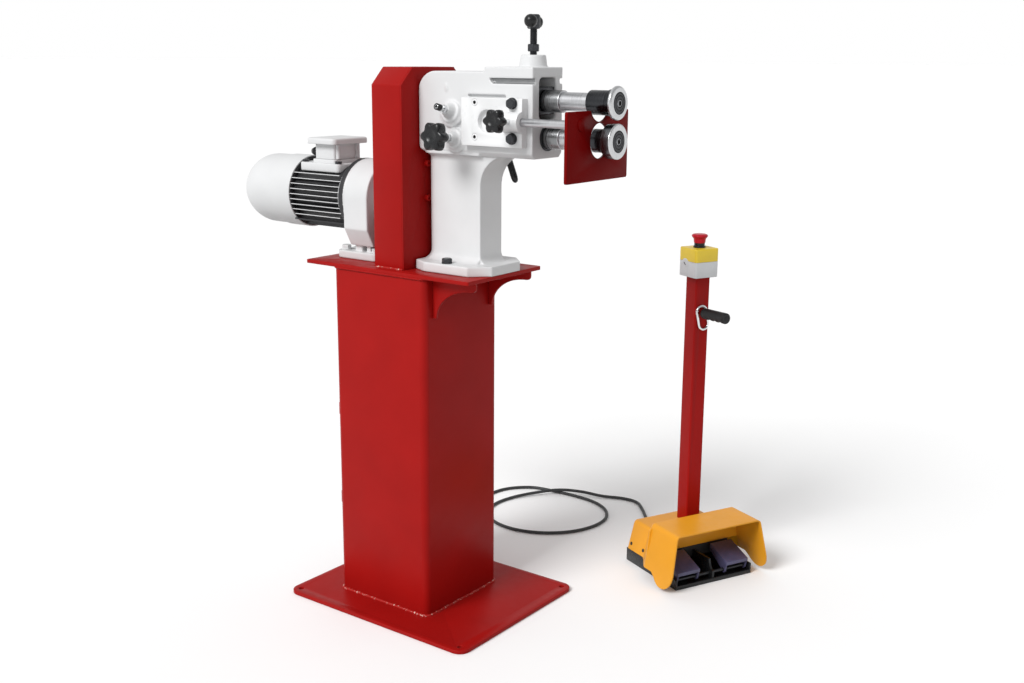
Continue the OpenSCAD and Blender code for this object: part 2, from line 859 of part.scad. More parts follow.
module gearbox() {
    color("#e3e5e7") difference() {
        union() {
            gearbox_body();
            translate([0, 0, motor_z]) along_x(gearbox_x0 - flange_t, gearbox_x0, 2 * flange_r);
            translate([0, 0, motor_z]) along_x(gearbox_x1, gearbox_x1 + gearbox_spigot_l, 2 * gearbox_spigot_r);
            for (x = [gearbox_x0 + gearbox_wall, gearbox_x1 - gearbox_wall - gearbox_rib_w])
                translate([x, -gearbox_foot_w / 2 + foot_lug_r / 2, deck_top]) cube([gearbox_rib_w, gearbox_foot_w - foot_lug_r, motor_axis_h - gearbox_waist_h]);
            translate([(gearbox_foot_x0 + gearbox_foot_x1) / 2, 0, deck_top]) linear_extrude(gearbox_foot_t)
                rounded_outline(gearbox_foot_x1 - gearbox_foot_x0, gearbox_foot_w, foot_lug_r);
        }
        translate([0, 0, motor_z]) {
            along_x(gearbox_x0 + gearbox_wall, gearbox_x1 - gearbox_wall, 2 * (motor_r - gearbox_wall));
            along_x(gearbox_x1 - 2 * gearbox_wall, gearbox_x1 + gearbox_spigot_l + cut, output_d + 2 * fit);
            along_x(gearbox_x0 - flange_t - cut, gearbox_x0 + 2 * gearbox_wall, rotor_shaft_d + 2 * fit);
        }
        for (x = gearbox_lugs_x(), sy = [-1, 1]) translate([x, sy * gearbox_lug_y, deck_top - cut])
            cylinder(h = gearbox_foot_t + 2 * cut, d = bolt_d + 2 * fit, $fn = round_fn);
        for (x = gearbox_lugs_x(), sy = [-1, 1]) translate([x, sy * gearbox_lug_y, deck_top + gearbox_foot_t])
            cylinder(h = bolt_head_h * 2, d = washer_d + cut, $fn = round_fn);
    }
}

module motor_frame() {
    color("#2a2c30") translate([0, 0, motor_z]) difference() {
        union() {
            along_x(motor_x0, motor_x1, 2 * motor_core_r);
            for (side = [-1, 1], i = [0:fin_count - 1]) let (z = lerp(-motor_core_r * 0.86, motor_core_r * 0.7, i / (fin_count - 1)))
                intersection() {
                    translate([motor_x0, side > 0 ? 0 : -motor_r, z - fin_t / 2]) cube([motor_l, motor_r, fin_t]);
                    along_x(motor_x0, motor_x1, 2 * (motor_r - fin_t));
                }
            translate([terminal_x1 - terminal_l / 2 - plinth_l / 2, -plinth_w / 2, 0]) cube([plinth_l, plinth_w, terminal_base]);
        }
        along_x(motor_x0 + gearbox_wall, motor_x1 - gearbox_wall, 2 * stator_bore_r);
        along_x(motor_x0 - cut, motor_x1 + cut, rotor_shaft_d + 2 * fit);
    }
}

module fan_cowl() {
    r = motor_r;
    color("#e8e9eb") translate([0, 0, motor_z]) difference() {
        union() {
            along_x(cowl_x0 + cowl_dome_l, cowl_x1, 2 * r);
            translate([cowl_x0 + cowl_dome_l, 0, 0]) rotate([0, -90, 0]) dome(r - cowl_seam, cowl_dome_l);
        }
        along_x(cowl_x0 + cowl_dome_l - cut, cowl_x1 + cut, 2 * (r - cowl_t));
        translate([cowl_x0 + cowl_dome_l, 0, 0]) rotate([0, -90, 0]) dome(r - cowl_seam - cowl_t, cowl_dome_l - cowl_t);
        // Rear air slots
        for (a = [0:45:315]) rotate([a, 0, 0])
            translate([cowl_x0 - cut, -cowl_t, r * 0.2]) cube([cowl_dome_l / 4, 2 * cowl_t, r * 0.22]);
    }
}

// Rounded cap along +Z, with a circle's arc over its last stretch
module dome(r, h) {
    nose = min(r, h);
    rotate_extrude($fn = fine_fn) intersection() {
        union() {
            square([r, h - nose]);
            translate([0, h - nose]) scale([r / nose, 1, 1]) circle(nose, $fn = fine_fn);
        }
        square([r, h]);
    }
}

module terminal_box() {
    l = terminal_l - 2 * terminal_inset;
    w = terminal_w - 2 * terminal_inset;
    z0 = motor_z + terminal_base;
    h = terminal_top - terminal_lid_t - terminal_base;
    color("#dfe1e3") translate([terminal_x1 - terminal_l / 2, 0, 0]) difference() {
        translate([-l / 2, -w / 2, z0]) cube([l, w, h]);
        translate([-l / 2 + terminal_wall, -w / 2 + terminal_wall, z0 + terminal_wall])
            cube([l - 2 * terminal_wall, w - 2 * terminal_wall, h]);
        for (y = [-terminal_w * 0.2, terminal_w * 0.2])
            translate([-l / 2 - cut, y, z0 + gland_nut_r + 2 * gap])
                along_x(0, terminal_wall + 2 * cut, 2 * gland_r, round_fn);
    }
}

module terminal_lid() {
    z = motor_z + terminal_top - terminal_lid_t;
    color("#e6e8ea") translate([terminal_x1 - terminal_l / 2, 0, z]) linear_extrude(terminal_lid_t)
        rounded_outline(terminal_l, terminal_w, terminal_inset / 2);
}

module motor_rotor() {
    mid = (motor_x0 + motor_x1) / 2;
    color("#8a8d92") translate([0, 0, motor_z]) {
        along_x(mid - rotor_l / 2, mid + rotor_l / 2, rotor_d);
        along_x(motor_x0 - fan_space, gearbox_x0 + 2 * gearbox_wall - gap, rotor_shaft_d);
    }
}

module cooling_fan() {
    x1 = motor_x0 - fan_space / 3;
    color("#3a3c40") translate([0, 0, motor_z]) difference() {
        union() {
            along_x(x1 - fan_t, x1, rotor_shaft_d * 1.8);
            along_x(x1 - fan_t, x1 - fan_t + cowl_t, 2 * fan_r);
            for (a = [0:360 / fan_blades:359]) rotate([a, 0, 0])
                translate([x1 - fan_t, -cowl_t / 2, rotor_shaft_d * 0.8]) cube([fan_t, cowl_t, fan_r - rotor_shaft_d * 0.85]);
        }
        along_x(x1 - fan_t - cut, x1 + cut, rotor_shaft_d + 2 * fit);
    }
}

module output_shaft() {
    color("#9a9da1") translate([0, 0, motor_z]) {
        along_x(gearbox_x1 - 2 * gearbox_wall + gap, gear_x0 - gap, output_d);
        along_x(gear_x0 - gap, gear_x1, gear_bore_d - 2 * fit);
    }
}

// Arm outline seen from the side, round at the rear
module arm_side() {
    z0 = lower_z - arm_drop;
    z1 = upper_z + arm_rise;
    translate([arm_rear_x + arm_rear_top_r, z0]) square([arm_l - arm_rear_top_r - arm_rear_x, z1 - z0]);
    translate([arm_rear_x, z0 + arm_rear_low_r]) square([arm_rear_top_r, z1 - z0 - arm_rear_low_r - arm_rear_top_r]);
    translate([arm_rear_x + arm_rear_top_r, z1 - arm_rear_top_r]) circle(arm_rear_top_r, $fn = fine_fn);
    translate([arm_rear_x + arm_rear_low_r, z0]) square([arm_rear_top_r, arm_rear_low_r]);
    translate([arm_rear_x + arm_rear_low_r, z0 + arm_rear_low_r]) circle(arm_rear_low_r, $fn = fine_fn);
}

module arm_plan() {
    translate([arm_rear_x + arm_plan_r, -arm_w / 2]) square([arm_l - arm_plan_r - arm_rear_x, arm_w]);
    translate([arm_rear_x, -arm_w / 2 + arm_plan_r]) square([arm_plan_r + cut, arm_w - 2 * arm_plan_r]);
    for (sy = [-1, 1]) translate([arm_rear_x + arm_plan_r, sy * (arm_w / 2 - arm_plan_r)]) circle(arm_plan_r, $fn = fine_fn);
}

module arm_front() {
    z0 = lower_z - arm_drop;
    z1 = upper_z + arm_rise;
    y = arm_w / 2;
    polygon([[-y, z0 + arm_edge], [-y + arm_edge, z0], [y - arm_edge, z0], [y, z0 + arm_edge], [y, z1], [-y, z1]]);
}

module neck_plan() {
    translate([neck_x0 + neck_w / 2, -neck_w / 2]) square([neck_x - neck_x0 - neck_w / 2, neck_w]);
    translate([neck_x0 + neck_w / 2, 0]) circle(neck_w / 2, $fn = fine_fn);
}

module foot_plan() {
    y = foot_w / 2;
    polygon([[foot_x0, -y + foot_cut / 2], [foot_x0 + foot_cut, -y], [foot_x1 - foot_cut, -y], [foot_x1, -y + foot_cut],
        [foot_x1, y - foot_cut], [foot_x1 - foot_cut, y], [foot_x0 + foot_cut, y], [foot_x0, y - foot_cut / 2]]);
}

// Moves a piece along +Z out of the head's near side, tilted upward
module from_side(x, z, tilt, y = -arm_w / 2) {
    translate([x, y, z]) rotate([90 - tilt, 0, 0]) children();
}

module boss_cone(r, l, tilt) {
    reach = r * sin(tilt) + cut;
    translate([0, 0, -reach]) cylinder(h = l + reach, r1 = r, r2 = stud_d, $fn = round_fn);
}

// Trapezoid groove in the side, its rear end cut at a slant
module side_groove(x0, x1, z, h, depth) {
    translate([0, -arm_w / 2 + depth, z]) rotate([90, 0, 0]) linear_extrude(depth + cut)
        polygon([[x0, h], [x1, h], [x1, 0], [x0 + h, 0]]);
}

module head_casting() {
    color("#e4e6e8") difference() {
        union() {
            intersection() {
                push_y(arm_w) arm_side();
                translate([0, 0, lower_z - arm_drop - cut]) linear_extrude(arm_w * 2) arm_plan();
                push_x(arm_rear_x, arm_l) arm_front();
            }
            translate([spigot_x, -spigot_w / 2, lower_z - spigot_drop])
                cube([spigot_l + arm_rear_low_r, spigot_w, upper_z + spigot_rise - lower_z + spigot_drop]);
            translate([cap_x0, -arm_w / 2, upper_z + arm_rise]) cube([arm_l - cap_x0, arm_w, cap_t]);
            translate([screw_x, 0, upper_z + arm_rise + cap_t]) cylinder(h = boss_h, r1 = boss_r_low, r2 = boss_r_top, $fn = fine_fn);
            translate([0, 0, deck_top + foot_t / 2]) linear_extrude(lower_z - arm_drop - deck_top) neck_plan();
            neck_fillet();
            translate([0, 0, deck_top]) linear_extrude(foot_t) foot_plan();
            foot_fillet();
            intersection() {
                union() {
                    from_side(large_knob_x, lower_z + large_knob_up, large_knob_tilt) boss_cone(stud_boss_r, stud_boss_l, large_knob_tilt);
                    from_side(guide_x, lower_z + guide_up, guide_tilt) boss_cone(guide_boss_r, guide_boss_l, guide_tilt);
                }
                translate([0, -arm_w * 1.5, deck_top]) cube([arm_l, arm_w * 1.5, arm_l * 2]);
            }
        }
        head_cuts();
    }
}

module neck_fillet() {
    z = lower_z - arm_drop;
    push_y(neck_w) translate([neck_x, z]) difference() {
        translate([-cut, -neck_fillet_r]) square([neck_fillet_r + cut, neck_fillet_r + cut]);
        translate([neck_fillet_r, -neck_fillet_r]) circle(neck_fillet_r, $fn = fine_fn);
    }
}

module foot_fillet() {
    z = deck_top + foot_t;
    push_y(neck_w) translate([neck_x, z]) difference() {
        translate([-cut, -cut]) square([neck_foot_r + cut, neck_foot_r + cut]);
        translate([neck_foot_r, neck_foot_r]) circle(neck_foot_r, $fn = round_fn);
    }
    intersection() {
        translate([neck_x0 + neck_w / 2, 0, z]) rotate_extrude($fn = fine_fn) difference() {
            translate([neck_w / 2 - cut, -cut]) square(neck_foot_r + cut);
            translate([neck_w / 2 + neck_foot_r, neck_foot_r]) circle(neck_foot_r, $fn = round_fn);
        }
        translate([foot_x0, -foot_w / 2, deck_top]) cube([neck_w, foot_w, foot_w]);
    }
    for (sy = [-1, 1]) mirror([0, sy > 0 ? 1 : 0, 0])
        translate([0, -neck_w / 2, z]) push_x(neck_x0 + neck_w / 2, neck_x) difference() {
            translate([-neck_foot_r, -cut]) square([neck_foot_r + cut, neck_foot_r + cut]);
            translate([-neck_foot_r, neck_foot_r]) circle(neck_foot_r, $fn = round_fn);
        }
}

module head_cuts() {
    // Front slot for the upper bearing block and the channel behind it
    push_x(slot_x0, arm_l + cut) translate([0, (2 * upper_z + slot_rise - slot_drop) / 2])
        rounded_outline(slot_w, slot_rise + slot_drop, slot_r);
    translate([spigot_x - cut, -channel_w / 2, upper_z - channel_drop]) cube([slot_x0 + 2 * cut - spigot_x, channel_w, channel_drop + channel_rise]);
    translate([0, 0, lower_z]) along_x(spigot_x - cut, arm_l + cut, lower_bush_d);
    translate([screw_x, 0, upper_z]) cylinder(h = arm_rise + cap_t + boss_h + cut, d = screw_d + 2 * fit, $fn = round_fn);
    // Cast grooves on both sides
    for (side = [0, 1]) mirror([0, side, 0]) {
        side_groove(groove_x0, arm_l + cut, upper_z + arm_rise - groove_drop, groove_h, groove_d);
        side_groove(slot_line_x0, slot_line_x1, lower_z + side_high + gap, slot_line_h, slot_line_d);
    }
    from_side(large_knob_x, lower_z + large_knob_up, large_knob_tilt)
        translate([0, 0, -screw_embed]) cylinder(h = screw_embed + stud_boss_l + cut, d = large_stud_d + 2 * fit, $fn = round_fn);
    from_side(guide_x, lower_z + guide_up, guide_tilt)
        translate([0, 0, -screw_embed]) cylinder(h = screw_embed + guide_boss_l + cut, d = guide_d + 2 * fit, $fn = round_fn);
    side_bolt_places() rotate([-90, 0, 0]) cylinder(h = side_t + screw_embed + gap, d = bolt_d + 2 * fit, $fn = round_fn);
    side_screw_places() rotate([-90, 0, 0]) cylinder(h = side_t + screw_embed + gap, d = cap_screw_d + 2 * fit, $fn = round_fn);
    for (sy = [-1, 1]) translate([foot_bolt_x, sy * foot_bolt_y, deck_top - cut])
        cylinder(h = foot_t + 2 * cut, d = bolt_d + 2 * fit, $fn = round_fn);
    for (sy = [-1, 1]) translate([foot_bolt_x, sy * foot_bolt_y, deck_top + foot_t])
        cylinder(h = bolt_head_h * 3, d = washer_d + cut, $fn = round_fn);
    for (x = [foot_screw_x1, foot_screw_x2]) translate([x, 0, deck_top - cut])
        cylinder(h = foot_t + screw_embed + gap, d = bolt_d + 2 * fit, $fn = round_fn);
    translate([lever_x, arm_w / 2 - lever_pin_embed, lower_z]) rotate([-90, 0, 0])
        cylinder(h = lever_pin_embed + cut, d = lever_pin_d + 2 * fit, $fn = round_fn);
}

module side_bolt_places() {
    for (z = [lower_z, lower_z + 2 * (rod_z - lower_z) + rod_d / 4])
        translate([side_bolt_x, -arm_w / 2 - side_t, z]) children();
}

module side_screw_places() {
    for (z = [lower_z, lower_z + 2 * (rod_z - lower_z) + rod_d / 4])
        translate([side_screw_x, -arm_w / 2 - side_t, z]) children();
}

module side_plate() {
    y0 = -arm_w / 2 - side_t;
    color("#eceded") difference() {
        union() {
            translate([side_x0, y0, lower_z - side_low]) cube([side_x1 - side_x0, side_t, side_low + side_high]);
            intersection() {
                translate([0, rod_y, rod_z]) along_x(side_x1 - rod_boss_l, side_x1, 2 * rod_boss_r);
                translate([0, -arm_w * 1.5, 0]) cube([arm_l * 2, arm_w, upper_z * 2]);
            }
        }
        translate([0, rod_y, rod_z]) along_x(pocket_x, side_x1 + cut, rod_d + 2 * fit);
        translate([pocket_x, y0 + pocket_d, rod_z]) rotate([90, 0, 0]) cylinder(h = pocket_d + cut, r = pocket_r, $fn = fine_fn);
        side_bolt_places() rotate([-90, 0, 0]) cylinder(h = side_t + cut, d = bolt_d + 2 * fit, $fn = round_fn);
        side_screw_places() rotate([-90, 0, 0]) {
            cylinder(h = side_t + cut, d = cap_screw_d + 2 * fit, $fn = round_fn);
            translate([0, 0, -cut]) cylinder(h = cap_head_h + cut, d = cap_head_d + cut, $fn = round_fn);
        }
        from_side(small_knob_x, rod_z, small_knob_tilt, rod_y) cylinder(h = rod_boss_r + cut, d = stud_d + 2 * fit, $fn = round_fn);
    }
}

// Hexagon bolt, its head above z = 0 and its shank below
module hex_bolt(shank) {
    translate([0, 0, -shank]) cylinder(h = shank + washer_t, d = bolt_d, $fn = round_fn);
    cylinder(h = washer_t, d = washer_d, $fn = round_fn);
    translate([0, 0, washer_t]) cylinder(h = bolt_head_h, d = bolt_head_d, $fn = 6);
}

module cap_screw(shank) {
    translate([0, 0, -shank]) cylinder(h = shank + cut, d = cap_screw_d, $fn = round_fn);
    difference() {
        cylinder(h = cap_head_h, d = cap_head_d, $fn = round_fn);
        translate([0, 0, cap_head_h / 2]) cylinder(h = cap_head_h, d = cap_head_d / 2, $fn = 6);
    }
}

module hex_bolts() {
    color("#55585c") {
        for (sy = [-1, 1]) translate([foot_bolt_x, sy * foot_bolt_y, deck_top + foot_t]) hex_bolt(foot_t + deck_t);
        for (x = gearbox_lugs_x(), sy = [-1, 1]) translate([x, sy * gearbox_lug_y, deck_top + gearbox_foot_t]) hex_bolt(gearbox_foot_t + deck_t);
        side_bolt_places() rotate([90, 0, 0]) hex_bolt(side_t + screw_embed);
        for (x = [foot_screw_x1, foot_screw_x2]) translate([x, 0, deck_z]) rotate([180, 0, 0]) hex_bolt(deck_t + foot_t + screw_embed - cut);
    }
}

module cap_screws() {
    color("#3c3e42") {
        side_screw_places() translate([0, cap_head_h, 0]) rotate([90, 0, 0]) cap_screw(side_t - cap_head_h + screw_embed);
        cover_screw_places() {
            translate([cover_x1, 0, 0]) rotate([0, 90, 0]) cap_screw(cover_t + cap_head_h);
            along_x(cover_x1 - cover_t - cap_head_h / 2, cover_x1 - cover_t, cap_head_d, round_fn);
        }
        at_pedal() translate([post_a, post_b, pedal_floor_t + post_foot_t]) cap_screw(pedal_floor_t + post_foot_t);
        for (sy = [-1, 1]) translate([frame_bolt_x, sy * frame_bolt_y, deck_top + frame_t]) cap_screw(frame_t);
    }
}

module guide_screw() {
    color("#6a6d71") from_side(guide_x, lower_z + guide_up, guide_tilt) {
        translate([0, 0, -screw_embed + gap]) cylinder(h = screw_embed + guide_l, d = guide_d, $fn = round_fn);
        translate([0, 0, guide_boss_l]) cylinder(h = guide_nut_t, r = guide_nut_r, $fn = 6);
    }
}

module roll_shaft(z, collar_x0) {
    translate([0, 0, z]) {
        along_x(frame_x0, gear_x0 - gap, journal_d);
        along_x(gear_x0 - gap, gear_x1, gear_bore_d);
        along_x(gear_x1, roll_x0, shaft_d);
        along_x(collar_x0, shaft_collar_x1, shaft_collar_d);
        along_x(roll_x0, roll_end_x - roll_cap_t - roll_cap_inset, nose_d);
    }
}

module lower_shaft() {
    color("#c9ccd0") roll_shaft(lower_z, lower_collar_x0);
}

module upper_shaft() {
    color("#c9ccd0") roll_shaft(upper_z, upper_collar_x0);
}

// Roll turned as one profile round the shaft's nose
module roll(z, steps, drum_d, drum_l, crown) {
    neck = roll_end_x - drum_l;
    translate([0, 0, z]) difference() {
        rotate([0, 90, 0]) rotate_extrude($fn = fine_fn) polygon(concat([[nose_d / 2 + fit, roll_x0]], steps,
            [for (k = [0:4]) [drum_d / 2 - crown * (1 - sin(k * 22.5)), neck + crown * (1 - cos(k * 22.5))]],
            [for (k = [0:4]) [drum_d / 2 - crown * (1 - cos(k * 22.5)), roll_end_x - crown * (1 - sin(k * 22.5))]],
            [[nose_d / 2 + fit, roll_end_x]]));
        along_x(roll_end_x - roll_cap_inset, roll_end_x + cut, roll_cap_d + 2 * gap);
    }
}

module upper_roll() {
    neck = roll_end_x - upper_roll_l;
    r = upper_shank_d / 2;
    color("#7d8186") roll(upper_z, [[r, roll_x0], [r, neck - roll_collar_l], [roll_collar_d / 2, neck - roll_collar_l],
        [roll_collar_d / 2, neck]], upper_roll_d, upper_roll_l, 6);
}

module lower_roll() {
    r = lower_shank_d / 2;
    color("#8a8e93") roll(lower_z, [[r, roll_x0], [r, roll_end_x - lower_roll_l]], lower_roll_d, lower_roll_l, 2);
}

module roll_screw(z) {
    x0 = roll_end_x - roll_cap_inset;
    translate([0, 0, z]) difference() {
        union() {
            along_x(x0, x0 + roll_cap_t, roll_cap_d);
            along_x(x0 - roll_cap_t, x0, nose_d);
        }
        along_x(x0 + roll_cap_t / 2, x0 + 2 * roll_cap_t, 2 * roll_socket_r);
    }
}

module upper_roll_screw() {
    color("#303236") roll_screw(upper_z);
}

module lower_roll_screw() {
    color("#303236") roll_screw(lower_z);
}

module bearing_block() {
    color("#4a4d51") difference() {
        translate([block_x0, -block_w / 2, upper_z - block_drop]) cube([block_x1 - block_x0, block_w, block_drop + block_rise]);
        translate([0, 0, upper_z]) along_x(block_x0 - cut, block_x1 + cut, shaft_d + 2 * fit);
    }
}

module rear_swivel_bush() {
    mid = (frame_x0 + frame_x1) / 2;
    color("#b98a43") difference() {
        intersection() {
            translate([mid, 0, upper_z]) sphere(swivel_r, $fn = fine_fn);
            translate([0, 0, upper_z]) along_x(frame_x0 + gap, frame_x1 - gap, 3 * swivel_r);
        }
        translate([0, 0, upper_z]) along_x(frame_x0 - cut, frame_x1 + cut, journal_d + 2 * fit);
    }
}

module thrust_pad() {
    z = upper_z + block_rise + pad_gap;
    color("#8a8d92") translate([screw_x, 0, z]) {
        cylinder(h = pad_t / 2, r = pad_tip_r, $fn = round_fn);
        translate([0, 0, pad_t / 2]) cylinder(h = pad_t / 2, r = pad_r, $fn = round_fn);
    }
}

boss_top = upper_z + arm_rise + cap_t + boss_h;
nut_z = boss_top + nut_gap;
hub_z = nut_z + nut_h + screw_neck_h;
tommy_z = hub_z + hub_h / 2;

module pressure_screw() {
    z0 = upper_z + block_rise + pad_gap + pad_t + gap / 3;
    color("#5b5e62") translate([screw_x, 0, 0]) difference() {
        union() {
            translate([0, 0, z0]) cylinder(h = hub_z - z0, d = screw_d, $fn = round_fn);
            translate([0, 0, hub_z]) cylinder(h = hub_h, r = hub_r, $fn = round_fn);
        }
        translate([0, 0, tommy_z]) rotate([0, 0, tommy_yaw]) along_x(-2 * hub_r, 2 * hub_r, tommy_d + 2 * fit, round_fn);
    }
}

module lock_nut() {
    color("#4b4e52") translate([screw_x, 0, nut_z]) difference() {
        cylinder(h = nut_h, r = nut_r, $fn = 6);
        translate([0, 0, -cut]) cylinder(h = nut_h + 2 * cut, d = screw_d + 2 * fit, $fn = round_fn);
    }
}

module tommy_bar() {
    color("#26272a") translate([screw_x, 0, tommy_z]) rotate([0, 0, tommy_yaw]) {
        along_x(-tommy_reach, tommy_reach, tommy_d, round_fn);
        for (s = [-1, 1]) translate([s * tommy_reach, 0, 0]) sphere(tommy_ball_r, $fn = round_fn);
    }
}

// Tube of one skin along a list of points
module tube(path, r, sides) {
    n = len(path);
    function dir(i) = unit(path[min(n - 1, i + 1)] - path[max(0, i - 1)]);
    function side_of(d) = norm(cross(d, [0, 0, 1])) > 0.01 ? unit(cross(d, [0, 0, 1])) : [1, 0, 0];
    points = [for (i = [0:n - 1]) let (d = dir(i), s = side_of(d), t = cross(s, d))
        for (k = [0:sides - 1]) path[i] + r * (cos(360 * k / sides) * s + sin(360 * k / sides) * t)];
    faces = concat([[for (k = [0:sides - 1]) k]], [[for (k = [sides - 1:-1:0]) (n - 1) * sides + k]],
        [for (i = [0:n - 2], k = [0:sides - 1]) let (a = i * sides + k, b = i * sides + (k + 1) % sides)
            each [[a, a + sides, b + sides], [a, b + sides, b]]]);
    polyhedron(points, faces);
}

module stop_rod() {
    color("#d3d6d9") translate([0, rod_y, rod_z]) {
        along_x(rod_x0, fence_x, rod_d);
    }
}

module fence_plate() {
    y1 = fence_y0 + fence_w;
    z0 = lower_z - fence_drop;
    color("#a82b22") difference() {
        union() {
            push_x(fence_x, fence_x + fence_t) translate([(fence_y0 + y1) / 2, z0 + fence_h / 2])
                rounded_outline(fence_w, fence_h, fence_corner_r);
            translate([0, rod_y, rod_z]) along_x(fence_x + fence_t, fence_x + fence_t + rod_nose_l, 2 * rod_nose_r, round_fn);
        }
        translate([0, 0, lower_z]) along_x(fence_x - cut, fence_x + fence_t + cut, 2 * fence_hole_r);
        translate([0, 0, upper_z]) along_x(fence_x - cut, fence_x + fence_t + cut, 2 * fence_notch_r);
    }
}

module star_knob(r, h) {
    cylinder(h = h, r = r * knob_core_share, $fn = fine_fn);
    for (k = [0:knob_lobes - 1]) rotate([0, 0, 360 * k / knob_lobes])
        translate([r * (1 - knob_lobe_share), 0, 0]) cylinder(h = h, r = r * knob_lobe_share, $fn = round_fn);
    translate([0, 0, -h / 3]) cylinder(h = h / 2, r = knob_hub_r, $fn = round_fn);
}

module small_star_knob() {
    color("#232427") from_side(small_knob_x, rod_z, small_knob_tilt, rod_y) {
        translate([0, 0, small_knob_l - small_knob_h / 2]) star_knob(small_knob_r, small_knob_h);
        translate([0, 0, rod_d / 2 + gap]) cylinder(h = small_knob_l - rod_d / 2, d = stud_d, $fn = round_fn);
    }
}

module large_star_knob() {
    color("#232427") from_side(large_knob_x, lower_z + large_knob_up, large_knob_tilt) {
        translate([0, 0, large_knob_l - large_knob_h / 2]) star_knob(large_knob_r, large_knob_h);
        translate([0, 0, -screw_embed + gap]) cylinder(h = screw_embed + large_knob_l, d = large_stud_d, $fn = round_fn);
    }
}

module clamp_lever() {
    color("#1e1f21") translate([lever_x, arm_w / 2 + gap, lower_z]) {
        rotate([-90, 0, 0]) cylinder(h = lever_hub_l, r = lever_hub_r, $fn = round_fn);
        translate([0, -gap - lever_pin_embed + gap, 0]) rotate([-90, 0, 0]) cylinder(h = lever_pin_embed + gap, d = lever_pin_d, $fn = round_fn);
        translate([0, lever_hub_l / 2, 0]) rotate([0, 180 - lever_tilt, 0]) {
            cylinder(h = lever_l - lever_d / 2, d = lever_d, $fn = round_fn);
            translate([0, 0, lever_l - lever_d / 2]) sphere(d = lever_d, $fn = round_fn);
        }
    }
}

module pedal_base() {
    l = pedal_base_l;
    w = pedal_base_w;
    color("#1c1d20") at_pedal() difference() {
        union() {
            translate([-l / 2, -w / 2 + pedal_mid_b, 0]) cube([l, w, pedal_floor_t]);
            difference() {
                translate([-l / 2, -w / 2 + pedal_mid_b, 0]) cube([l, w, pedal_base_h]);
                translate([-l / 2 + pedal_wall, -w / 2 + pedal_wall + pedal_mid_b, 0]) cube([l, w - 2 * pedal_wall, pedal_base_h + cut]);
                translate([pedal_front_w, -w, pedal_pin_z + pedal_pin_d]) cube([l, 2 * w, pedal_base_h]);
            }
            translate([l / 2 - pedal_wall, -w / 2 + pedal_mid_b, 0]) cube([pedal_wall, w, pedal_lip_h]);
            // Web between the pedals, its front edge curved
            translate([0, pedal_mid_b, 0]) push_y(web_t) difference() {
                translate([web_a0, 0]) square([l / 2 - pedal_wall - web_a0, web_top]);
                translate([l / 2 - pedal_wall, web_top]) scale([0.62, 1, 1]) circle(web_top - pedal_pin_z * 1.5, $fn = fine_fn);
            }
        }
        translate([pedal_pin_a, w, pedal_pin_z]) rotate([90, 0, 0]) cylinder(h = 2 * w, d = pedal_pin_d + 2 * fit, $fn = round_fn);
        translate([-l / 2 - cut, pedal_gland_b, pedal_gland_z]) along_x(0, pedal_wall + 2 * cut, 2 * gland_r, round_fn);
        translate([post_a, post_b, post_foot_t / 2]) translate([0, 0, -post_foot_t]) cylinder(h = post_foot_t * 3, d = cap_screw_d + 2 * fit, $fn = round_fn);
    }
}

// Cross section of the guard, wide at its foot, pushed along a
module guard_section(a0, a1, top, half_top, half_low, inset = 0) {
    translate([0, pedal_mid_b, 0]) push_x(a0, a1) polygon([[-half_low + inset, pedal_base_h], [half_low - inset, pedal_base_h],
        [half_top - inset, top - inset], [-half_top + inset, top - inset]]);
}

module guard_rear(a0, a1, inset = 0) {
    guard_section(a0, a1, guard_rear_h, guard_rear_top_w / 2, pedal_base_w / 2, inset);
}

guard_low_w = guard_w + 2 * (guard_h - pedal_base_h) * tan(guard_lean);

module guard_front(a0, a1, inset = 0) {
    guard_section(a0, a1, guard_h, guard_w / 2, guard_low_w / 2, inset);
}

// Shell that spreads from the rear box to the front hood
module guard_spread(inset, over) {
    hull() {
        guard_rear(guard_step_a0 - over, guard_step_a0 - over + 1, inset);
        guard_front(guard_step_a1 + over - 1, guard_step_a1 + over, inset);
    }
}

module lobe_outline() {
    z = (guard_h - lobe_z) / cos(guard_lean) - lobe_r;
    low = (guard_h - pedal_base_h) / cos(guard_lean) - post_w / 2;
    translate([lobe_low_a, -z]) circle(lobe_r, $fn = fine_fn);
    polygon([[guard_front_a - gap, -guard_t / 2], [guard_step_a1 + gap, -guard_t / 2], [lobe_rear_a, -low], [lobe_low_a - lobe_r * 0.77, -z - lobe_r * 0.64], [lobe_low_a + lobe_r, -z]]);
}

module pedal_guard() {
    color("#f2ae1c") at_pedal() {
        difference() {
            union() {
                difference() {
                    guard_rear(-pedal_base_l / 2, guard_step_a0);
                    guard_rear(-pedal_base_l / 2 + guard_t, guard_step_a0 + cut, guard_t);
                }
                difference() {
                    guard_spread(0, 0);
                    guard_spread(guard_t, cut);
                }
                difference() {
                    guard_front(guard_step_a1, guard_front_a);
                    guard_front(guard_step_a1 - cut, guard_front_a + cut, guard_t);
                }
            }
            translate([post_a, post_b, 0]) linear_extrude(guard_h * 2) square(post_w + 2 * cut, center = true);
        }
        for (s = [0, 1]) translate([0, pedal_mid_b, 0]) mirror([0, s, 0]) translate([0, guard_w / 2, guard_h])
            rotate([90 + guard_lean, 0, 0]) translate([0, 0, gap / 2]) linear_extrude(guard_t - gap) lobe_outline();
    }
}

module pedal_pin() {
    color("#c4c7ca") at_pedal() translate([pedal_pin_a, pedal_base_w / 2 + pedal_mid_b + cut, pedal_pin_z]) rotate([90, 0, 0])
        cylinder(h = pedal_base_w + 2 * cut, d = pedal_pin_d, $fn = round_fn);
}

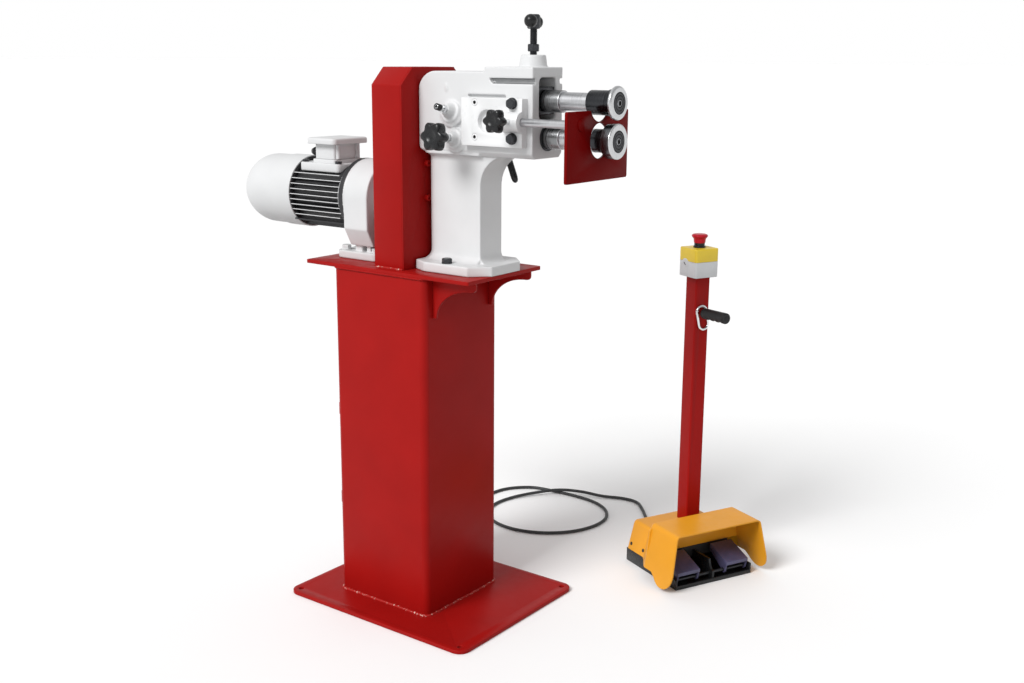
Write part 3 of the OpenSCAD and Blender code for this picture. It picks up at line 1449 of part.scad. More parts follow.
module pedal_switches() {
    color("#3a3c40") at_pedal() for (s = [-1, 1])
        translate([switch_a - switch_l / 2, pedal_mid_b + s * (pedal_gap + pedal_w / 2) - switch_w / 2, pedal_floor_t]) {
            cube([switch_l, switch_w, switch_h]);
            translate([switch_l / 2, switch_w / 2, switch_h]) cylinder(h = plunger_h, d = pedal_pin_d, $fn = round_fn);
        }
}

// One pedal, its tread sloping down to the front, on side skirts round the pin
module pedal(b0) {
    difference() {
        union() {
            translate([0, b0 + pedal_w / 2, 0]) push_y(pedal_w) polygon([[pedal_inner_a, pedal_high_z], [pedal_front_a, pedal_low_z],
                [pedal_front_a, pedal_low_z - pedal_t * 2], [pedal_front_a - pedal_t, pedal_low_z - pedal_t * 2],
                [pedal_front_a - pedal_t, pedal_low_z - pedal_t], [pedal_inner_a + pedal_t, pedal_high_z - pedal_t],
                [pedal_inner_a + pedal_t, pedal_high_z - 4 * pedal_t], [pedal_inner_a, pedal_high_z - 4 * pedal_t]]);
            for (b = [b0 + pedal_skirt_t / 2, b0 + pedal_w - pedal_skirt_t / 2]) translate([0, b, 0]) push_y(pedal_skirt_t) {
                polygon([[pedal_inner_a, pedal_high_z - pedal_t / 2], [pedal_front_a, pedal_low_z - pedal_t / 2],
                    [pedal_pin_a + pedal_pin_d, pedal_pin_z], [pedal_pin_a - pedal_pin_d, pedal_pin_z], [pedal_inner_a, pedal_high_z - 4 * pedal_t]]);
                translate([pedal_pin_a, pedal_pin_z]) circle(pedal_pin_d, $fn = round_fn);
            }
        }
        translate([pedal_pin_a, b0 - cut, pedal_pin_z]) rotate([-90, 0, 0]) cylinder(h = pedal_w + 2 * cut, d = pedal_pin_d + 2 * fit, $fn = round_fn);
    }
}

module left_pedal() {
    color("#2e3038") at_pedal() pedal(pedal_mid_b - pedal_gap - pedal_w);
}

module right_pedal() {
    color("#2e3038") at_pedal() pedal(pedal_mid_b + pedal_gap);
}

module pedal_post() {
    color("#a01f1f") at_pedal() translate([post_a, post_b, pedal_floor_t]) difference() {
        linear_extrude(post_h - pedal_floor_t) rounded_outline(post_w, post_w, post_t);
        translate([0, 0, post_foot_t]) linear_extrude(post_h - pedal_floor_t - 2 * post_foot_t)
            square(post_w - 2 * post_t, center = true);
        translate([0, 0, -cut]) cylinder(h = post_foot_t + 2 * cut, d = cap_screw_d + 2 * fit, $fn = round_fn);
        translate([0, 0, grip_z - pedal_floor_t]) rotate([0, -grip_tilt, 0]) along_x(post_w / 2 - 2 * post_t, post_w / 2 + 2 * post_t, grip_stub_d + 2 * fit, round_fn);
    }
}

module stop_box() {
    h = stop_box_h - lid_h;
    color("#d5d7d8") at_pedal() translate([post_a, post_b, post_h]) difference() {
        linear_extrude(h) rounded_outline(stop_box_w, stop_box_w, box_edge_r);
        translate([0, 0, box_t]) linear_extrude(h) rounded_outline(stop_box_w - 2 * box_t, stop_box_w - 2 * box_t, box_edge_r - box_t);
    }
}

module stop_lid() {
    color("#f3c62b") at_pedal() translate([post_a, post_b, post_h + stop_box_h - lid_h]) difference() {
        union() {
            linear_extrude(lid_h) rounded_outline(stop_box_w, stop_box_w, box_edge_r);
            translate([0, 0, lid_h]) cylinder(h = collar_h, r = collar_r, $fn = round_fn);
        }
        translate([0, 0, -cut]) linear_extrude(lid_h - box_t + cut) rounded_outline(stop_box_w - 2 * box_t, stop_box_w - 2 * box_t, box_edge_r - box_t);
        cylinder(h = lid_h + collar_h + cut, r = button_stem_r + gap, $fn = round_fn);
    }
}

module stop_button() {
    z = post_h + stop_box_h + collar_h + push_gap;
    color("#c22a2c") at_pedal() translate([post_a, post_b, z]) {
        translate([0, 0, -push_gap - collar_h - lid_h / 2]) cylinder(h = push_gap + collar_h + lid_h / 2 + cut, r = button_stem_r, $fn = round_fn);
        cylinder(h = mushroom_h - mushroom_neck_r / 2, r1 = mushroom_neck_r * 1.2, r2 = mushroom_d / 2, $fn = fine_fn);
        translate([0, 0, mushroom_h - mushroom_neck_r / 2]) cylinder(h = mushroom_neck_r / 2, r1 = mushroom_d / 2, r2 = mushroom_d / 2.4, $fn = fine_fn);
    }
}

module grip_ring() {
    color("#d7d9db") at_pedal() translate([post_a + post_w / 2 + ring_wire_r, post_b, grip_z - ring_drop]) {
        difference() {
            push_x(-ring_wire_r, ring_wire_r) ring_outline(ring_w / 2, ring_h / 2);
            push_x(-2 * ring_wire_r, 2 * ring_wire_r) ring_outline(ring_w / 2 - 2 * ring_wire_r, ring_h / 2 - 2 * ring_wire_r);
        }
    }
}

module ring_outline(r, half) {
    translate([0, half - r]) circle(r, $fn = round_fn);
    translate([0, -half + r]) circle(r, $fn = round_fn);
    square([2 * r, 2 * (half - r)], center = true);
}

module hand_grip() {
    x0 = post_w / 2 + 3 * ring_wire_r + gap;
    color("#1b1c1e") at_pedal() translate([post_a, post_b, grip_z]) rotate([0, -grip_tilt, 0]) difference() {
        union() {
            along_x(post_w / 2 - post_foot_t, x0, grip_stub_d, round_fn);
            along_x(x0, x0 + grip_l, grip_d);
        }
        for (k = [0:grip_notches - 1]) translate([x0 + grip_l * (k + 1) / (grip_notches + 1.2), -grip_d, -grip_d / 2 - grip_notch_r + grip_notch_depth])
            rotate([-90, 0, 0]) cylinder(h = 2 * grip_d, r = grip_notch_r, $fn = fine_fn);
    }
}

module pedal_cable() {
    n = len(cable_run);
    function at(i) = cable_run[max(0, min(n - 1, i))];
    path = [for (i = [0:n - 2]) let (steps = max(1, round(norm(at(i + 1) - at(i)) / cable_step)))
        for (k = [0:steps - 1]) mid_spline(at(i - 1), at(i), at(i + 1), at(i + 2), k / steps)];
    color("#242527") tube(concat(path, [cable_run[n - 1]]), cable_r, cable_sides);
}

base_plate();
column();
deck_plate();
door_hinges();
switchgear_panel();
cable_glands();
transmission_cover();
cover_plate();
gear_frame();
shaft_bushes();
gearbox();
motor_frame();
fan_cowl();
terminal_box();
terminal_lid();
head_casting();
hex_bolts();
side_plate();
cap_screws();
guide_screw();
rear_door();
door_latch();
lower_shaft();
lower_gear();
lower_roll();
lower_roll_screw();
upper_shaft();
upper_gear();
upper_roll();
upper_roll_screw();
bearing_block();
rear_swivel_bush();
idler_gear();
output_shaft();
drive_gear();
motor_rotor();
cooling_fan();
thrust_pad();
pressure_screw();
lock_nut();
tommy_bar();
stop_rod();
fence_plate();
small_star_knob();
large_star_knob();
clamp_lever();
pedal_base();
pedal_guard();
pedal_pin();
pedal_switches();
left_pedal();
right_pedal();
pedal_post();
stop_box();
stop_lid();
stop_button();
grip_ring();
hand_grip();
pedal_cable();
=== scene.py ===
"""Looks of the motor driven bead roller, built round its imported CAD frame.
Lengths are millimetres in the CAD frame, and the meshes are made in metres."""
import math

import bmesh
import bpy
from mathutils import Matrix, Vector


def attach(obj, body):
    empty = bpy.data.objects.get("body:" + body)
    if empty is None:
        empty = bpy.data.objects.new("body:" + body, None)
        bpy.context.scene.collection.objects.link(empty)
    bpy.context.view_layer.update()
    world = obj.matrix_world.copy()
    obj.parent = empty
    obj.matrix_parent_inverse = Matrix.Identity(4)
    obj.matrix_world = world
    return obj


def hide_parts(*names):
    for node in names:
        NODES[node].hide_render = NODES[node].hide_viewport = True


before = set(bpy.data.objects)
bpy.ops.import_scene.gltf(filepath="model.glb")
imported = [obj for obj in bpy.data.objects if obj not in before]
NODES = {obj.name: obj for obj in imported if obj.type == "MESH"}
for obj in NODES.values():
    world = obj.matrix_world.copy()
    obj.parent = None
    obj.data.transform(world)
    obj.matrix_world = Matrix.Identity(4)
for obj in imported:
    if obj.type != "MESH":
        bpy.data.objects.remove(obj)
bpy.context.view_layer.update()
MM = 0.001

# Heights and places shared with the CAD source
BASE_TOP = 8
DECK_Z = 741
DECK_TOP = 749
MOTOR_Z = 880
LOWER_Z = 1025
UPPER_Z = 1095
COLUMN_X0, COLUMN_X1, COLUMN_Y = -164, 90, 121.5
COVER_X0, COVER_X1, COVER_Y = -64, 17, 100
ARM_Y = 50
PEDAL_AT = (393, 473)
PEDAL_YAW = math.radians(-25)
POST_A, POST_B, POST_H = -45, 31, 691
STOP_TOP = POST_H + 70
ROD_Y, ROD_Z, ROD_X1 = -66, 1056, 416
SCREW_X = 267
BOSS_TOP = 1181
TOMMY_Z = 1242.5
# Gear motor along X, from the gearbox's flange to the cowl's end
FLANGE_X = -184
FIN_X0, FIN_X1 = -340, -190
MOTOR_X0 = -349
COWL_X1, COWL_SEAM, COWL_X0 = -337, -395, -526
COWL_R, DOME_R = 80, 78
BOX_X, BOX_Z, LID_Z, LID_TOP = -261.5, 957, 990, 1003
# Camera in metres and degrees, with its focal length in pixels of the frame
CAMERA_M = (1.6569, -1.93615, 1.17484)
CAMERA_TURNS = (36.57, 13.17, 0.39)
FOCAL_PX, PHOTO_WIDTH_PX = 1211.99, 1024
# Light: strengths of the sky along the horizon and straight below
FAR_FLOOR = 1.0
UNDER_LIGHT = 0.3


def link(obj):
    bpy.context.scene.collection.objects.link(obj)
    return obj


# Camera at the photograph's viewpoint
def make_camera():
    azimuth, elevation, roll = (math.radians(a) for a in CAMERA_TURNS)
    level = math.cos(elevation)
    look = Vector((-math.sin(azimuth) * level, math.cos(azimuth) * level, -math.sin(elevation)))
    side = Vector((math.cos(azimuth), math.sin(azimuth), 0))
    up = side.cross(look)
    right = side * math.cos(roll) + up * math.sin(roll)
    top = -side * math.sin(roll) + up * math.cos(roll)
    data = bpy.data.cameras.new("camera")
    data.sensor_width = 36
    data.lens = data.sensor_width * FOCAL_PX / PHOTO_WIDTH_PX
    data.clip_start, data.clip_end = 0.05, 1000
    cam = link(bpy.data.objects.new("camera", data))
    turn = Matrix((right, top, -look)).transposed().to_4x4()
    cam.matrix_world = Matrix.Translation(Vector(CAMERA_M)) @ turn
    bpy.context.scene.camera = cam


make_camera()


# Materials
class Shader:
    """One procedural material: a noisy base colour, uneven gloss and a fine bump, all in object space."""

    def __init__(self, name, color, rough, metal=0.0, coat=0.0, coat_rough=0.08, specular=0.5, stretch=(1, 1, 1)):
        self.mat = bpy.data.materials.new(name)
        self.mat.use_nodes = True
        self.tree = self.mat.node_tree
        self.tree.nodes.clear()
        out = self.tree.nodes.new("ShaderNodeOutputMaterial")
        self.bsdf = self.tree.nodes.new("ShaderNodeBsdfPrincipled")
        self.tree.links.new(self.bsdf.outputs["BSDF"], out.inputs["Surface"])
        self.put("Base Color", (*color, 1))
        self.put("Roughness", rough)
        self.put("Metallic", metal)
        self.put("Coat Weight", coat)
        self.put("Coat Roughness", coat_rough)
        self.put("Specular IOR Level", specular)
        self.color, self.rough = color, rough
        coords = self.tree.nodes.new("ShaderNodeTexCoord")
        mapping = self.tree.nodes.new("ShaderNodeMapping")
        mapping.inputs["Scale"].default_value = stretch
        self.tree.links.new(coords.outputs["Object"], mapping.inputs["Vector"])
        self.where = mapping.outputs["Vector"]
        self.normal = None

    def put(self, socket, value):
        self.bsdf.inputs[socket].default_value = value

    def noise(self, scale, detail=3.0, rough=0.5):
        node = self.tree.nodes.new("ShaderNodeTexNoise")
        node.inputs["Scale"].default_value = scale
        node.inputs["Detail"].default_value = detail
        node.inputs["Roughness"].default_value = rough
        self.tree.links.new(self.where, node.inputs["Vector"])
        return node.outputs["Fac"]

    def span(self, value, low, high, start=0.3, end=0.7):
        node = self.tree.nodes.new("ShaderNodeMapRange")
        for socket, number in (("From Min", start), ("From Max", end), ("To Min", low), ("To Max", high)):
            node.inputs[socket].default_value = number
        self.tree.links.new(value, node.inputs["Value"])
        return node.outputs["Result"]

    def mix_color(self, factor, low, high):
        node = self.tree.nodes.new("ShaderNodeMix")
        node.data_type = "RGBA"
        self.tree.links.new(factor, node.inputs["Factor"])
        node.inputs[6].default_value = (*low, 1)
        node.inputs[7].default_value = (*high, 1)
        self.tree.links.new(node.outputs[2], self.bsdf.inputs["Base Color"])
        return self

    def vary(self, share, scale):
        low = [c * (1 - share) for c in self.color]
        high = [min(1, c * (1 + share)) for c in self.color]
        return self.mix_color(self.span(self.noise(scale), 0, 1), low, high)

    def specks(self, other, scale, start, end):
        return self.mix_color(self.span(self.noise(scale, 4, 0.6), 0, 1, start, end), self.color, other)

    def uneven(self, spread, scale):
        value = self.span(self.noise(scale), max(0.02, self.rough - spread), min(1, self.rough + spread))
        self.tree.links.new(value, self.bsdf.inputs["Roughness"])
        return self

    def bump(self, height, scale, strength=1.0, detail=2.0):
        """height in millimetres"""
        node = self.tree.nodes.new("ShaderNodeBump")
        node.inputs["Strength"].default_value = strength
        node.inputs["Distance"].default_value = height * MM
        self.tree.links.new(self.noise(scale, detail), node.inputs["Height"])
        if self.normal:
            self.tree.links.new(self.normal, node.inputs["Normal"])
        self.normal = node.outputs["Normal"]
        self.tree.links.new(self.normal, self.bsdf.inputs["Normal"])
        return self


def red_paint(name, color=(0.31, 0.006, 0.005), specular=0.09):
    shader = Shader(name, color, 0.38, specular=specular)
    return shader.vary(0.06, 9).uneven(0.05, 60).bump(0.03, 650, 0.35).bump(0.2, 25, 0.12).mat


def cast_paint(name, color=(0.64, 0.645, 0.65)):
    shader = Shader(name, color, 0.42, specular=0.4)
    return shader.vary(0.025, 14).uneven(0.06, 90).bump(0.12, 210, 0.35).bump(0.04, 900, 0.3).mat


def turned(name, color, rough, axis=0, spread=0.08):
    """Metal turned on a lathe, with fine rings across its axis"""
    stretch = [40, 40, 40]
    stretch[axis] = 1600
    shader = Shader(name, color, rough, metal=1.0, stretch=tuple(stretch))
    return shader.vary(0.10, 1.0).uneven(spread, 1.0).bump(0.006, 1.3, 0.4).mat


MATS = {
    "red": red_paint("red_paint"),
    "fence": red_paint("fence_paint", (0.17, 0.002, 0.002), 0.03),
    # Darker grey, metal-like paint on the head's side-groove walls: painted shade in the grooves
    "groove": Shader("groove_painted_shade", (0.30, 0.305, 0.31), 0.45, metal=0.6)
        .vary(0.15, 60).uneven(0.08, 160).bump(0.03, 500, 0.4).mat,
    # Red weld-bead paint with pale specks: partly bare weld showing through the paint, partly painted glints on the
    # ripples
    "red_seam_bare_and_glints": Shader("red_seam_bare_and_glints", (0.36, 0.012, 0.010), 0.4, specular=0.2)
        .specks((0.75, 0.55, 0.48), 170, 0.56, 0.66).bump(0.4, 260, 0.6).mat,
    "cast": cast_paint("cast_paint"),
    "smooth": Shader("smooth_white_paint", (0.77, 0.775, 0.78), 0.3, coat=0.1, coat_rough=0.15)
        .vary(0.015, 20).uneven(0.04, 50).bump(0.02, 700, 0.3).mat,
    "drive": cast_paint("drive_paint", (0.62, 0.625, 0.63)),
    "core": Shader("motor_core_paint", (0.012, 0.012, 0.014), 0.45)
        .vary(0.3, 40).uneven(0.1, 120).bump(0.1, 300, 0.4).mat,
    "chrome": turned("ground_shaft", (0.52, 0.525, 0.54), 0.34),
    "collar": turned("blackened_collar", (0.05, 0.052, 0.056), 0.26),
    "ring": turned("shaft_collar", (0.24, 0.245, 0.25), 0.3),
    "roll_dark": turned("roll_flank", (0.16, 0.165, 0.175), 0.24),
    "roll_face": turned("roll_face", (0.60, 0.61, 0.62), 0.32, axis=1),
    # Near-black on the narrow recess round each roll's end cap: painted shade in the gap
    "recess": turned("roll_recess_shade", (0.035, 0.036, 0.04), 0.35),
    "bolt": Shader("black_oxide_bolt", (0.055, 0.057, 0.062), 0.38, metal=0.85)
        .vary(0.25, 260).uneven(0.12, 300).bump(0.03, 900, 0.4).mat,
    "zinc": Shader("zinc_plate", (0.56, 0.57, 0.56), 0.33, metal=1.0)
        .vary(0.12, 70).uneven(0.1, 160).bump(0.02, 800, 0.3).mat,
    "bright": Shader("polished_steel", (0.74, 0.75, 0.76), 0.1, metal=1.0).vary(0.05, 60).uneven(0.04, 90).mat,
    "gear": turned("gear_steel", (0.36, 0.37, 0.39), 0.34),
    "bronze": turned("bush_bronze", (0.52, 0.33, 0.13), 0.3),
    "plastic": Shader("black_plastic", (0.008, 0.0085, 0.0095), 0.3, specular=0.35)
        .vary(0.2, 60).uneven(0.08, 240).bump(0.03, 1300, 0.35).mat,
    "rubber": Shader("black_rubber", (0.009, 0.009, 0.0095), 0.55, specular=0.35)
        .vary(0.25, 90).uneven(0.08, 300).bump(0.05, 1500, 0.5).mat,
    "cord": Shader("cord_sheath", (0.026, 0.027, 0.028), 0.5)
        .vary(0.25, 40).uneven(0.1, 200).bump(0.04, 900, 0.5).mat,
    "pedal": Shader("pedal_paint", (0.075, 0.07, 0.14), 0.4)
        .vary(0.12, 50).uneven(0.08, 160).bump(0.06, 420, 0.5).mat,
    "yellow": Shader("guard_paint", (0.72, 0.31, 0.014), 0.36, specular=0.3)
        .vary(0.04, 12).uneven(0.05, 70).bump(0.03, 600, 0.35).mat,
    "grey_box": Shader("grey_plastic", (0.60, 0.61, 0.62), 0.4)
        .vary(0.03, 40).uneven(0.06, 160).bump(0.03, 900, 0.35).mat,
    "yellow_box": Shader("yellow_plastic", (0.78, 0.56, 0.03), 0.36)
        .vary(0.03, 40).uneven(0.06, 160).bump(0.03, 900, 0.35).mat,
    "button": Shader("red_plastic", (0.46, 0.010, 0.022), 0.3, specular=0.15)
        .vary(0.05, 60).uneven(0.05, 120).bump(0.01, 700, 0.3).mat,
    # Near-black: painted shade in holes, sockets, slots and gaps, and the own colour of the guard's black screw
    # heads
    "dark": Shader("hollow_shade_and_black", (0.012, 0.012, 0.012), 0.7).vary(0.2, 80).mat,
}


# Mesh helpers, in millimetres
def frame_at(origin, direction=(0, 0, 1), up=(0, 0, 1)):
    """Matrix that takes local +Z to direction"""
    z = Vector(direction).normalized()
    hint = Vector(up)
    if abs(z.dot(hint.normalized())) > 0.99:
        hint = Vector((0, 1, 0))
    x = hint.cross(z).normalized()
    y = z.cross(x)
    turn = Matrix((x, y, z)).transposed().to_4x4()
    return Matrix.Translation(Vector(origin)) @ turn


CONSOLE = Matrix.Translation(Vector((*PEDAL_AT, 0))) @ Matrix.Rotation(PEDAL_YAW, 4, "Z")


def piece(name, bm, body, mats, nodes=(), sharp=38, weld=0.003):
    """Turns a mesh in millimetres into a piece that rides on a body and stands for CAD nodes"""
    bmesh.ops.remove_doubles(bm, verts=bm.verts, dist=weld)
    bmesh.ops.recalc_face_normals(bm, faces=bm.faces)
    limit = math.radians(sharp)
    for f in bm.faces:
        f.smooth = True
    for e in bm.edges:
        e.smooth = len(e.link_faces) != 2 or e.calc_face_angle(0) < limit
    bm.transform(Matrix.Scale(MM, 4))
    mesh = bpy.data.meshes.new(name)
    bm.to_mesh(mesh)
    bm.free()
    obj = link(bpy.data.objects.new(name, mesh))
    for m in mats:
        mesh.materials.append(MATS[m])
    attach(obj, body)
    if nodes:
        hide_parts(*nodes)
    return obj


def node_mesh(*names):
    """The CAD nodes' meshes in one bmesh, in millimetres, welded, with flat areas as single faces"""
    bm = bmesh.new()
    for n in names:
        bm.from_mesh(NODES[n].data)
    bm.transform(Matrix.Scale(1 / MM, 4))
    bmesh.ops.remove_doubles(bm, verts=bm.verts, dist=0.002)
    bmesh.ops.dissolve_degenerate(bm, edges=bm.edges, dist=0.002)
    for f in bm.faces:
        f.material_index = 0
    bmesh.ops.dissolve_limit(bm, angle_limit=math.radians(0.4), verts=bm.verts, edges=bm.edges)
    return bm


def round_edges(bm, width, steps=2, angle=28):
    edges = [e for e in bm.edges if len(e.link_faces) == 2 and e.calc_face_angle(0) > math.radians(angle)]
    bmesh.ops.bevel(bm, geom=edges, offset=width, offset_type="OFFSET", segments=steps, profile=0.5,
                    affect="EDGES", clamp_overlap=False, miter_outer="ARC" if steps > 2 else "SHARP")
    return bm


def soften(node, mats, body, width=0.7, steps=2, angle=28):
    """A CAD node's own shape with its edges rounded"""
    bm = round_edges(node_mesh(node), width, steps, angle)
    bm.normal_update()
    return piece(node + "_shape", bm, body, mats, [node])


def ring_of(bm, matrix, points):
    return [bm.verts.new(matrix @ Vector(p)) for p in points]


def circle(r, z, n):
    """Points of a level circle"""
    turns = [2 * math.pi * k / n for k in range(n)]
    return [(r * math.cos(a), r * math.sin(a), z) for a in turns]


def arc(centre, r, degrees):
    """Points of an arc in the plane, at the angles asked for"""
    return [(centre[0] + r * math.cos(math.radians(d)), centre[1] + r * math.sin(math.radians(d))) for d in degrees]


def bridge(bm, a, b, mat=0, closed=True):
    n = max(len(a), len(b))
    for k in range(n if closed else n - 1):
        j = (k + 1) % n
        if len(a) == 1:
            corners = [a[0], b[k], b[j]]
        elif len(b) == 1:
            corners = [a[k], a[j], b[0]]
        else:
            corners = [a[k], a[j], b[j], b[k]]
        bm.faces.new(corners).material_index = mat


def profile(rows, steps=3):
    """Rows of (t, r, material of the stretch that starts there, corner radius) become points and materials"""
    points, mats = [], []
    for i, row in enumerate(rows):
        t, r, mat = row[:3]
        fillet = row[3] if len(row) > 3 else 0
        here = Vector((t, r))
        if fillet and 0 < i < len(rows) - 1:
            back = Vector(rows[i - 1][:2]) - here
            ahead = Vector(rows[i + 1][:2]) - here
            size = min(fillet, back.length * 0.48, ahead.length * 0.48)
            p0, p2 = here + back.normalized() * size, here + ahead.normalized() * size
            for k in range(steps + 1):
                s = k / steps
                points.append(p0 * (1 - s) ** 2 + here * 2 * s * (1 - s) + p2 * s * s)
                mats.append(mat)
        else:
            points.append(here)
            mats.append(mat)
    return points, mats


def lathe(bm, rows, matrix, seg=64, steps=3):
    points, mats = profile(rows, steps)
    rings = []
    for t, r in points:
        if r < 1e-4:
            rings.append([bm.verts.new(matrix @ Vector((0, 0, t)))])
        else:
            rings.append(ring_of(bm, matrix, circle(r, t, seg)))
    for i in range(len(rings) - 1):
        if len(rings[i]) + len(rings[i + 1]) > 2:
            bridge(bm, rings[i], rings[i + 1], mats[i])


def inset(points, d):
    """A closed outline moved inward by d, its corners mitred"""
    out = []
    n = len(points)
    area = sum(points[i][0] * points[(i + 1) % n][1] - points[(i + 1) % n][0] * points[i][1] for i in range(n))
    turn = 1 if area > 0 else -1
    for i in range(n):
        p, a, b = Vector(points[i]), Vector(points[i - 1]), Vector(points[(i + 1) % n])
        e1, e2 = (p - a).normalized(), (b - p).normalized()
        n1, n2 = Vector((-e1.y, e1.x)) * turn, Vector((-e2.y, e2.x)) * turn
        m = n1 + n2
        m = m / max(0.35, m.length_squared) * 2 if m.length > 1e-6 else n1
        out.append(p + m * d)
    return [(q.x, q.y) for q in out]


def prism(bm, points, matrix, z0, z1, edge=0.8, mat=0, steps=3, low_edge=None):
    """A plate of one outline with both rims rounded"""
    low_edge = edge if low_edge is None else low_edge
    turns = [k / steps * math.pi / 2 for k in range(steps + 1)]
    low = [(z0 + low_edge * (1 - math.cos(a)), low_edge * (1 - math.sin(a))) for a in turns]
    high = [(z1 - edge * (1 - math.sin(a)), edge * (1 - math.cos(a))) for a in turns]
    rings = []
    for z, d in low + high:
        outline = inset(points, d) if d > 1e-6 else points
        rings.append(ring_of(bm, matrix, [(x, y, z) for x, y in outline]))
    for a, b in zip(rings, rings[1:]):
        bridge(bm, a, b, mat)
    bm.faces.new(rings[0]).material_index = mat
    bm.faces.new(rings[-1]).material_index = mat


def rounded_rect(l, w, r, n=6, at=(0, 0)):
    points = []
    for sx, sy, start in ((1, 1, 0), (-1, 1, 90), (-1, -1, 180), (1, -1, 270)):
        for k in range(n + 1):
            a = math.radians(start + 90 * k / n)
            corner = (at[0] + sx * (l / 2 - r), at[1] + sy * (w / 2 - r))
            points.append((corner[0] + r * math.cos(a), corner[1] + r * math.sin(a)))
    return points


def polar(n, radius):
    turns = [2 * math.pi * k / n for k in range(n)]
    return [(radius(a) * math.cos(a), radius(a) * math.sin(a)) for a in turns]


def sweep(bm, path, radius, sides=12, mat=0, closed=False, caps=True):
    """A tube along a path, its rings turned as little as possible"""
    path = [Vector(p) for p in path]
    n = len(path)
    side = None
    rings = []
    for i, p in enumerate(path):
        ahead = path[(i + 1) % n] if closed or i < n - 1 else p
        back = path[i - 1] if closed or i else p
        d = (ahead - back).normalized()
        if side is None:
            hint = Vector((0, 0, 1)) if abs(d.z) < 0.9 else Vector((1, 0, 0))
            side = d.cross(hint).normalized()
        side = (side - d * side.dot(d)).normalized()
        other = d.cross(side)
        r = radius(i) if callable(radius) else radius
        turns = [2 * math.pi * k / sides for k in range(sides)]
        rings.append([bm.verts.new(p + r * (side * math.cos(a) + other * math.sin(a))) for a in turns])
    for a, b in zip(rings, rings[1:]):
        bridge(bm, a, b, mat)
    if closed:
        bridge(bm, rings[-1], rings[0], mat)
    elif caps:
        bm.faces.new(rings[0]).material_index = mat
        bm.faces.new(rings[-1]).material_index = mat


def hex_bolt(bm, matrix, washer_r=11, across=18, height=8, washer_t=2.5, mat=0):
    """Washer and chamfered hexagon head on a surface, with its chamfer ring and a flat top"""
    washer = [(0, 0.01, mat), (0, washer_r, mat, 0.5), (washer_t, washer_r, mat, 0.6), (washer_t, across * 0.4, mat)]
    lathe(bm, washer, matrix, 40)
    rings = []
    for z, cap in ((washer_t, 0), (washer_t + 0.5, 0), (washer_t + height * 0.82, 0), (washer_t + height, 1)):
        pts = []
        for k in range(24):
            a = 2 * math.pi * k / 24
            near = (a + math.pi / 6) % (math.pi / 3) - math.pi / 6
            hexa = across / 2 / math.cos(near)
            r = min(hexa, across / 2 * 0.93) if cap else hexa
            pts.append((r * math.cos(a), r * math.sin(a), z))
        rings.append(ring_of(bm, matrix, pts))
    for a, b in zip(rings, rings[1:]):
        bridge(bm, a, b, mat)
    bm.faces.new(rings[-1]).material_index = mat


def socket_screw(bm, matrix, r=6.5, h=8, mat=0, hole=1):
    # The socket takes material hole: near-black painted shade unless a caller gives another colour
    rows = [(0, r, mat), (h, r, mat, 0.8), (h, r * 0.5, hole, 0.2), (h * 0.5, r * 0.46, hole), (h * 0.45, 0, hole)]
    lathe(bm, rows, matrix, 36)


def star_knob(bm, matrix, r, h, lobes=6, mat=0):
    """Moulded star grip with rounded lobes, a crowned top and a shallow round dish"""
    def lobe(scale, depth):
        def reach(a):
            return r * (1 - depth * (1 - (0.5 + 0.5 * math.cos(lobes * a)) ** 0.75))
        return [(x * scale, y * scale) for x, y in polar(96, reach)]
    # Height, share of the radius and depth of the hollows, from the neck to the dish
    rows = [(-h / 3, 0.40, 0), (-h / 12, 0.42, 0.0), (0, 0.74, 0.12), (h * 0.05, 0.90, 0.24),
            (h * 0.2, 0.985, 0.29), (h * 0.5, 1.0, 0.30), (h * 0.8, 0.98, 0.29), (h * 0.93, 0.91, 0.25),
            (h, 0.78, 0.16), (h * 1.0, 0.5, 0), (h * 0.985, 0.36, 0), (h * 0.94, 0.32, 0), (h * 0.94, 0.02, 0)]
    rings = [ring_of(bm, matrix, [(x, y, z) for x, y in lobe(s, d)]) for z, s, d in rows]
    for a, b in zip(rings, rings[1:]):
        bridge(bm, a, b, mat)
    bm.faces.new(rings[0]).material_index = mat
    bm.faces.new(rings[-1]).material_index = mat


def cast_skin(name, bm, body, mats, nodes, voxel, rounds, ratio, rule=None):
    """Overlapping solids become one skin with soft edges, as a casting has"""
    bm.transform(Matrix.Scale(MM, 4))
    mesh = bpy.data.meshes.new(name + "_raw")
    bm.to_mesh(mesh)
    bm.free()
    obj = link(bpy.data.objects.new(name + "_raw", mesh))
    remesh = obj.modifiers.new("remesh", "REMESH")
    remesh.mode, remesh.voxel_size, remesh.use_smooth_shade = "VOXEL", voxel * MM, True
    smooth = obj.modifiers.new("smooth", "SMOOTH")
    smooth.factor, smooth.iterations = 0.5, rounds
    thin = obj.modifiers.new("thin", "DECIMATE")
    thin.ratio = ratio
    bpy.context.view_layer.update()
    made = bpy.data.meshes.new_from_object(obj.evaluated_get(bpy.context.evaluated_depsgraph_get()))
    bpy.data.objects.remove(obj)
    out = bmesh.new()
    out.from_mesh(made)
    bpy.data.meshes.remove(made)
    out.transform(Matrix.Scale(1 / MM, 4))
    for f in out.faces:
        f.material_index = rule(f.calc_center_median(), f.normal) if rule else 0
    return piece(name, out, body, mats, nodes, sharp=60, weld=0.0001)


